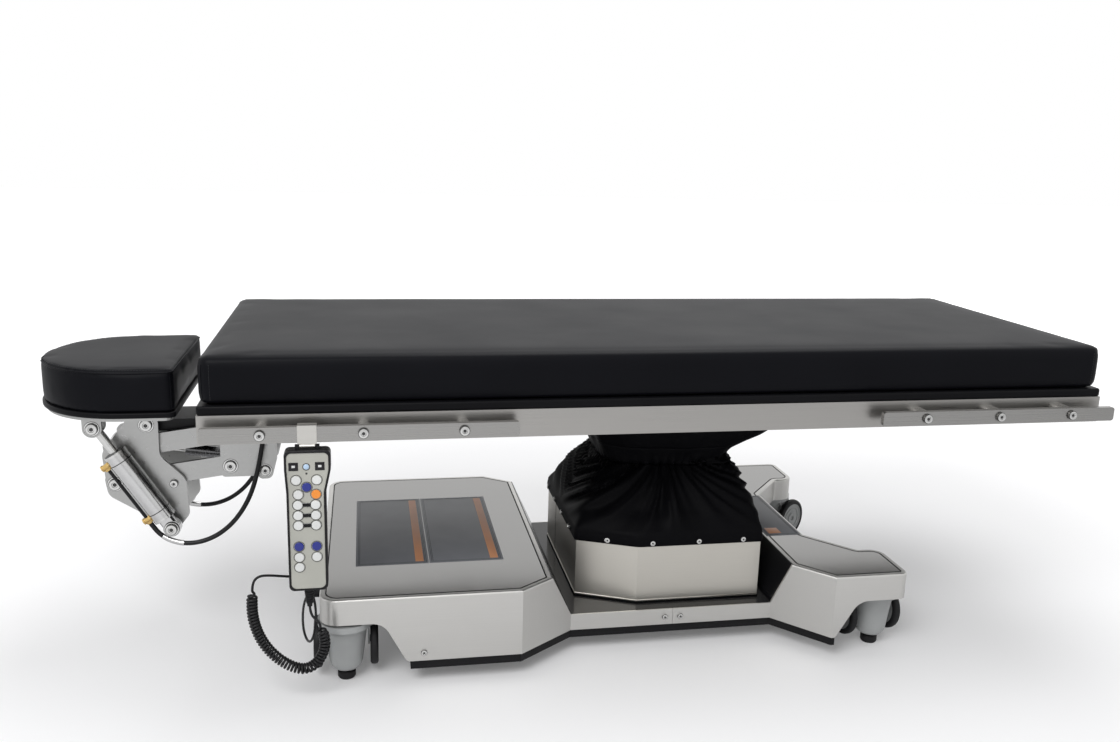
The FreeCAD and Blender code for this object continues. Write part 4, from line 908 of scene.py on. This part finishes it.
WHEEL_IN, WHEEL_OUT, WHEEL_R = 41.0, 55.0, 45.0
tyre = [(WHEEL_IN + step, radius) for step, radius in ((0, 35), (0, 41), (2, 44), (5, WHEEL_R))]
tyre += [(WHEEL_OUT - step, radius) for step, radius in (
    (5, WHEEL_R), (2, 44), (0, 41), (0, 36), (0.8, 35))]
hub = [(WHEEL_IN + 0.3, 6.2), (WHEEL_IN + 0.3, 35.4)]
hub += [(WHEEL_OUT - step, radius) for step, radius in (
    (1.0, 35.4), (1.0, 33.5), (3.0, 31.5), (3.0, 26), (4.6, 25.4), (4.6, 23.2), (3.0, 22.6),
    (3.0, 15), (0.5, 13), (0.5, 8), (1.2, 6.2))]
WHEEL_PIECES = (("tyres_", tyre, rubber, "tyre_black"), ("hubs_", hub, grey_paint, "grey_housing"))
for joint in frame["joints"]:
    if not joint["name"].startswith("roll_"):
        continue
    corner = joint["name"][5:]
    centre, axle = Vector(joint["pos_m"]), Vector(joint["axis"])
    for label, profile, finish, slot in WHEEL_PIECES:
        bm = joined(turned(profile, centre, axle), turned(profile, centre, -axle))
        piece = finished(label + corner, bm, finish, joint["child"], 40.0)
    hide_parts("caster_wheels_" + corner)
print("casters dressed")

# %% [markdown]
# Bolt heads on the rails, the head links and the base get a small dished socket, since the solid
# ones are plain discs. They are laid over the discs, on the same centres. A thin dark ring round
# each one is painted shade in the gap under its rim, and a dark hexagon is painted shade at the
# bottom of its socket. The large ones also get a bright washer behind them, ringed with painted
# shade.

# %% Bolt heads
HEM_Z = 195.9
LARGE_BOLT = 8.0
SIDE = (0, 1, 0)
BOLTS = {
    "tabletop": [((x, 335.6, 462.95), SIDE, 7.6)
                 for x in (-558.0, -397.5, -236.0, 586.0, 730.0, 874.5)]
    + [((-638.6, 70.7, 328.4), SIDE, 9.6), ((-638.6, 70.7, 390.4), SIDE, 9.6),
       ((-577.4, 70.7, 318.2), SIDE, 8.6)],
    "head_carrier": [((-780.3, 70.7, 409.4), SIDE, 9.6), ((-838.9, 70.7, 300.7), SIDE, 9.6),
                     ((-738.4, 70.7, 298.5), SIDE, 6.6), ((-741.1, 104.0, 222.9), SIDE, 9.2)],
    "head_section": [((-861.7, 108.0, 415.4), SIDE, 9.2)],
    "base": [((x, 204.7, HEM_Z), SIDE, 4.6) for x in (130.0, 220.5, 308.5)]
    + [((48.6, 179.5, HEM_Z), (-0.410, 0.912, 0), 4.6)]
    + [((-10.7, y, HEM_Z), (-1, 0, 0), 4.6) for y in (-100.0, -24.0, 52.0, 128.0)]
    + [((152.5, 233.6, 59.0), SIDE, 4.9), ((182.5, 233.6, 59.0), SIDE, 4.9),
       ((-301.0, 309.6, 59.0), SIDE, 4.9)]}
for body, spots in BOLTS.items():
    heads, shade_marks = bmesh.new(), bmesh.new()
    for (x, y, z), (out_x, out_y, out_z), radius in spots:
        for sign in (-1, 1) if out_y else (1,):
            place, out = Vector((x, sign * y, z)), Vector((out_x, sign * out_y, out_z))
            socket_head(heads, place, out, radius / 1000.0, 0.0012)
            # Painted shade: a dark ring in the gap under the rim, and a dark hexagon deep in the socket.
            washer(shade_marks, place, out, radius * 1.12, radius, 0.25)
            washer(shade_marks, place + out * 0.45, out, radius * 0.40, 0, 0.15, 6)
            if radius > LARGE_BOLT:
                behind = place - out * 3.8
                washer(heads, behind, out, radius * 1.36, radius * 0.9, 0.9)
                # A dark ring of painted shade round the washer's edge.
                washer(shade_marks, behind, out, radius * 1.44, radius * 1.36, 0.3)
    finished("bolt_heads_" + body, heads, bright, body, 30.0)
    finished("bolt_marks_" + body, shade_marks, painted_shade, body, 30.0)
print("bolt heads placed")

# %% [markdown]
# The tilt cylinders carry brass unions where oil goes in and out, joined by a black pipe. Each
# barrel has a turned groove near both ends, drawn as a dark ring of painted shade, and a bright band
# at them. A dark ring of painted shade also sits at the barrel's end. All of these are placed along
# the line from the foot pin to the rod's pin.

# %% Cylinder trims
EYE, CLEVIS = Vector((-741.1, 0, 222.9)), Vector((-861.7, 0, 415.4))
BARREL = (CLEVIS - EYE).normalized()
BARREL_OUT = Vector((-BARREL.z, 0, BARREL.x))
GROOVES_AT, PIPE_OUT = (40.0, 150.0), 27.0
groove_shade, unions, bands = bmesh.new(), bmesh.new(), bmesh.new()
for side, y in (("near", -88.0), ("far", 88.0)):
    foot = EYE + Vector((0, y, 0))
    for along in GROOVES_AT:
        # Dark rings of painted shade stand for the turned grooves and for the gap at the barrel's end.
        washer(groove_shade, foot + BARREL * along, BARREL, 20.2, 18.0, 1.6, 48)
    washer(groove_shade, foot + BARREL * 169.6, BARREL, 18.5, 9.0, 0.8, 48)
    for along in (36.0, 156.0):
        for out, radius, height, sides in ((20.0, 6.8, 3.0, 6), (23.0, 5.2, 9.6, 24), (32.0, 6.4, 3.0, 6)):
            spot = foot + BARREL * along + BARREL_OUT * out
            washer(unions, spot, BARREL_OUT, radius, 0, height, sides)
        washer(unions, foot + BARREL * (along - 8.0) + BARREL_OUT * PIPE_OUT, BARREL, 5.6, 0, 4.4, 6)
    for along in (24.0, 166.0):
        washer(bands, foot + BARREL * along, BARREL, 20.3, 12.0, 3.2, 48)
    ends = [(foot + BARREL * s + BARREL_OUT * PIPE_OUT) * 0.001 for s in GROOVES_AT]
    pipe = link(curve_mesh("cylinder_pipe_" + side, ends, "POLY", 0.0060, 4), "cylinder_pipe_" + side)
    pipe.data.materials.append(cord_rubber)
    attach(pipe, "tilt_barrels")
finished("barrel_grooves", groove_shade, painted_shade, "tilt_barrels", 30.0)
finished("barrel_unions", unions, brass, "tilt_barrels", 30.0)
finished("barrel_bands", bands, bright, "tilt_barrels", 30.0)
print("cylinder trims placed")

# %% [markdown]
# The handset has flat trims on its grey face: two small black windows, a lamp, and black bars
# that join the paired keys. A ribbed sleeve protects the cord where it leaves the case.

# %% Handset trims
FACE_Y = -345.0
WINDOWS_AT = (-507.2, -466.4)
bm = bmesh.new()
for x in WINDOWS_AT:
    block(bm, (x - 7.4, FACE_Y - 0.5, 407.4), (x + 7.4, FACE_Y + 0.1, 421.0), 0.0002)
finished("handset_windows", bm, black_gloss, "handset")
bm = bmesh.new()
for x in WINDOWS_AT:
    block(bm, (x - 2.6, FACE_Y - 0.7, 412.6), (x + 2.6, FACE_Y - 0.4, 416.2), 0.0001)
finished("handset_window_marks", bm, white_key, "handset")
bm = bmesh.new()
bmesh.ops.create_uvsphere(bm, u_segments=24, v_segments=12, radius=0.0046)
bmesh.ops.scale(bm, vec=(1, 0.4, 1), verts=bm.verts[:])
bmesh.ops.translate(bm, vec=(-0.4873, FACE_Y * 0.001, 0.4136), verts=bm.verts[:])
finished("handset_lamp", bm, lamp_blue, "handset")
# Thin dark rings round the keys and the lamp are painted shade in the gaps round them. A small dark dot is
# also drawn under the lamp.
ring_shade = bmesh.new()
washer(ring_shade, (-487.3, FACE_Y + 0.05, 413.6), (0, -1, 0), 6.0, 4.9, 0.3)
washer(ring_shade, (-487.3, FACE_Y + 0.05, 402.6), (0, -1, 0), 1.7, 0, 0.3)
for name in (n for n in nodes if n.startswith(("key_", "rocker_"))):
    key_low, key_high = (Vector(corner) * 1000.0 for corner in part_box(name))
    radius = (key_high.z - key_low.z) / 2
    for x in sorted({round(key_low.x + radius, 1), round(key_high.x - radius, 1)}):
        place = (x, FACE_Y + 0.05, (key_low.z + key_high.z) / 2)
        washer(ring_shade, place, (0, -1, 0), radius + 0.8, radius, 0.25)
finished("handset_key_rings", ring_shade, painted_shade, "handset", 30.0)
for number, z in enumerate((350.2, 332.6, 315.6), 1):
    bm = bmesh.new()
    for rib in range(6):
        x = -494.6 + 2.25 * rib
        block(bm, (x, FACE_Y - 1.5, z - 3.0), (x + 1.7, FACE_Y - 0.5, z + 3.0), 0.0003)
    block(bm, (-494.8, FACE_Y - 0.9, z - 2.4), (-481.2, FACE_Y - 0.4, z + 2.4), 0.0002)
    finished(f"rocker_bar_{number}", bm, black_plastic, f"rocker_{number}")
bm = bmesh.new()
for step in range(6):
    z = 200.5 - 4.6 * step
    ring = bmesh.ops.create_cone(bm, cap_ends=True, segments=32, radius1=0.0083 - 0.00052 * step,
                                 radius2=0.0087 - 0.00052 * step, depth=0.0026)["verts"]
    bmesh.ops.translate(bm, vec=(-0.4885, -0.333, z / 1000.0), verts=ring)
finished("strain_relief_ribs", bm, black_plastic, "handset")
print("handset trims placed")

# %% [markdown]
# Printed films lie on top of the base. They stay plain here: grey panels with a dark border
# line. The two large ones carry an orange band along one end, the small one an orange patch.

# %% Films on the base
PAD_TOP = 164.0
FILMS = [((-416, -170), (-284, 170), (-308, -161), (-293, 161)),
         ((-283, -170), (-146, 170), (-170, -161), (-155, 161)),
         ((392, -120), (465, 109), (402, -108), (428, -80))]
bm, lines, bands = bmesh.new(), bmesh.new(), bmesh.new()
for (x0, y0), (x1, y1), patch_low, patch_high in FILMS:
    block(bm, (x0, y0, PAD_TOP - 0.2), (x1, y1, PAD_TOP + 0.4), 0.0002)
    for inset in (4.0, 6.5):
        a0, a1, b0, b1 = x0 + inset, x1 - inset, y0 + inset, y1 - inset
        strips = ((a0, b0, a1, b0 + 1), (a0, b1 - 1, a1, b1), (a0, b0, a0 + 1, b1), (a1 - 1, b0, a1, b1))
        for *start, x, y in strips:
            block(lines, (*start, PAD_TOP + 0.3), (x, y, PAD_TOP + 0.5), 0.00005)
    block(bands, (*patch_low, PAD_TOP + 0.3), (*patch_high, PAD_TOP + 0.6), 0.0001)
finished("film_panels", bm, label_grey, "base")
finished("film_lines", lines, label_line, "base")
finished("film_bands", bands, label_orange, "base")
print("films placed")

# %% [markdown]
# A thin black strip of painted shade lies in the joint between each satin plate and the sheet
# round it. Its shape is taken from the plate itself: the top faces are copied, and only a narrow
# border of them stays. A second strip of painted shade and a rolled rim run round the foot of the
# casing, and a thin dark line of painted shade runs down a seam of the casing.

# %% Painted shade in the joints
bm = bmesh.new()
bm.from_mesh(nodes["inlay_plates"].data)
bmesh.ops.remove_doubles(bm, verts=bm.verts[:], dist=1e-5)
bmesh.ops.delete(bm, geom=[f for f in bm.faces if f.normal.z < 0.9], context="FACES")
bmesh.ops.dissolve_limit(bm, angle_limit=0.01, verts=bm.verts[:], edges=bm.edges[:])
middle = bm.faces[:]
border = bmesh.ops.inset_region(bm, faces=middle, thickness=0.0018, depth=0.0, use_boundary=True,
                                use_even_offset=True)["faces"]
bmesh.ops.delete(bm, geom=middle, context="FACES")
print("joint shade border of", len(border), "faces")
raised(bm, bm.faces[:], 0.0003)
# A dark strip of painted shade in the gap round each plate.
finished("inlay_gaskets", bm, gap_shade, "base", 30.0)
CASING_CORNERS = [(-5.0, -150.0), (104.0, -199.0), (346.0, -199.0),
                  (346.0, 199.0), (104.0, 199.0), (-5.0, 150.0)]
# The first ring is painted shade in the joint round the casing's foot; the second is the casing's rolled
# steel rim.
for name, z, thickness, finish, slot in (("casing_gasket", 76.4, 0.0034, gap_shade, "black_plastic"),
                                         ("casing_rim", 80.0, 0.0022, casing_steel, "brushed_panel")):
    corners = [Vector((x, y, z)) * 0.001 for x, y in CASING_CORNERS]
    piece = link(curve_mesh(name, corners + corners[:1], "POLY", thickness, 3), name)
    piece.data.materials.append(finish)
    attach(piece, "base")
bm = bmesh.new()
# A thin dark strip of painted shade in the seam down the casing.
block(bm, (-5.3, 59.4, 82.0), (-4.6, 60.6, 187.0), 0.0001)
finished("casing_seam", bm, gap_shade, "base")
print("joint shade placed")

# %% [markdown]
# The table stands on a pale floor in a bright studio. The world is white to the camera and to
# reflections, and gives a softer even light to everything else. Two large soft lamps model the
# shapes from above.

# %% Stage
WHITE = (1.0, 1.0, 1.0, 1.0)
bm = bmesh.new()
bmesh.ops.create_grid(bm, x_segments=1, y_segments=1, size=14.0)
floor_mesh = bpy.data.meshes.new("floor")
bm.to_mesh(floor_mesh)
bm.free()
floor = link(floor_mesh, "floor")
floor_paint, tree, principled = shader("floor_paint", (0.82, 0.82, 0.83), 0.6)
glow = new_node(tree, "Emission", Color=WHITE)
rays = new_node(tree, "LightPath")
distance = new_node(tree, "VectorMath")
distance.operation = "LENGTH"
tree.links.new(placed(tree), distance.inputs[0])
fading = spread(tree, distance.outputs["Value"], 0.12, 0.95, 1.0, 5.5)
strength = combined(tree, "MULTIPLY", rays.outputs["Is Camera Ray"], fading)
tree.links.new(strength, glow.inputs["Strength"])
both = new_node(tree, "AddShader")
tree.links.new(principled.outputs["BSDF"], both.inputs[0])
tree.links.new(glow.outputs["Emission"], both.inputs[1])
tree.links.new(both.outputs["Shader"], tree.nodes["Material Output"].inputs["Surface"])
floor_mesh.materials.append(floor_paint)
world = bpy.data.worlds.new("studio")
scene.world = world
world.use_nodes = True
sky = world.node_tree
sky.nodes.clear()
soft = new_node(sky, "Background", Color=WHITE, Strength=0.55)
seen = new_node(sky, "Background", Color=WHITE, Strength=1.0)
rays = new_node(sky, "LightPath")
either = combined(sky, "MAXIMUM", rays.outputs["Is Camera Ray"], rays.outputs["Is Glossy Ray"])
mix = new_node(sky, "MixShader")
sky.links.new(either, mix.inputs["Fac"])
sky.links.new(soft.outputs["Background"], mix.inputs[1])
sky.links.new(seen.outputs["Background"], mix.inputs[2])
output = new_node(sky, "OutputWorld")
sky.links.new(mix.outputs["Shader"], output.inputs["Surface"])


def lamp(name, place, target, size, power):
    data = bpy.data.lights.new(name, "AREA")
    data.shape = "DISK"
    data.size = size
    data.energy = power
    holder = link(data, name)
    direction = Vector(target) - Vector(place)
    aim = direction.to_track_quat("-Z", "Y").to_matrix().to_4x4()
    holder.matrix_world = Matrix.Translation(place) @ aim


lamp("key", (-1.6, -2.4, 2.9), (0.1, 0, 0.3), 2.2, 75)
lamp("top", (0.6, 0.8, 3.2), (0.1, 0, 0.4), 2.6, 45)
scene.view_settings.view_transform = "Standard"
print("stage lit")
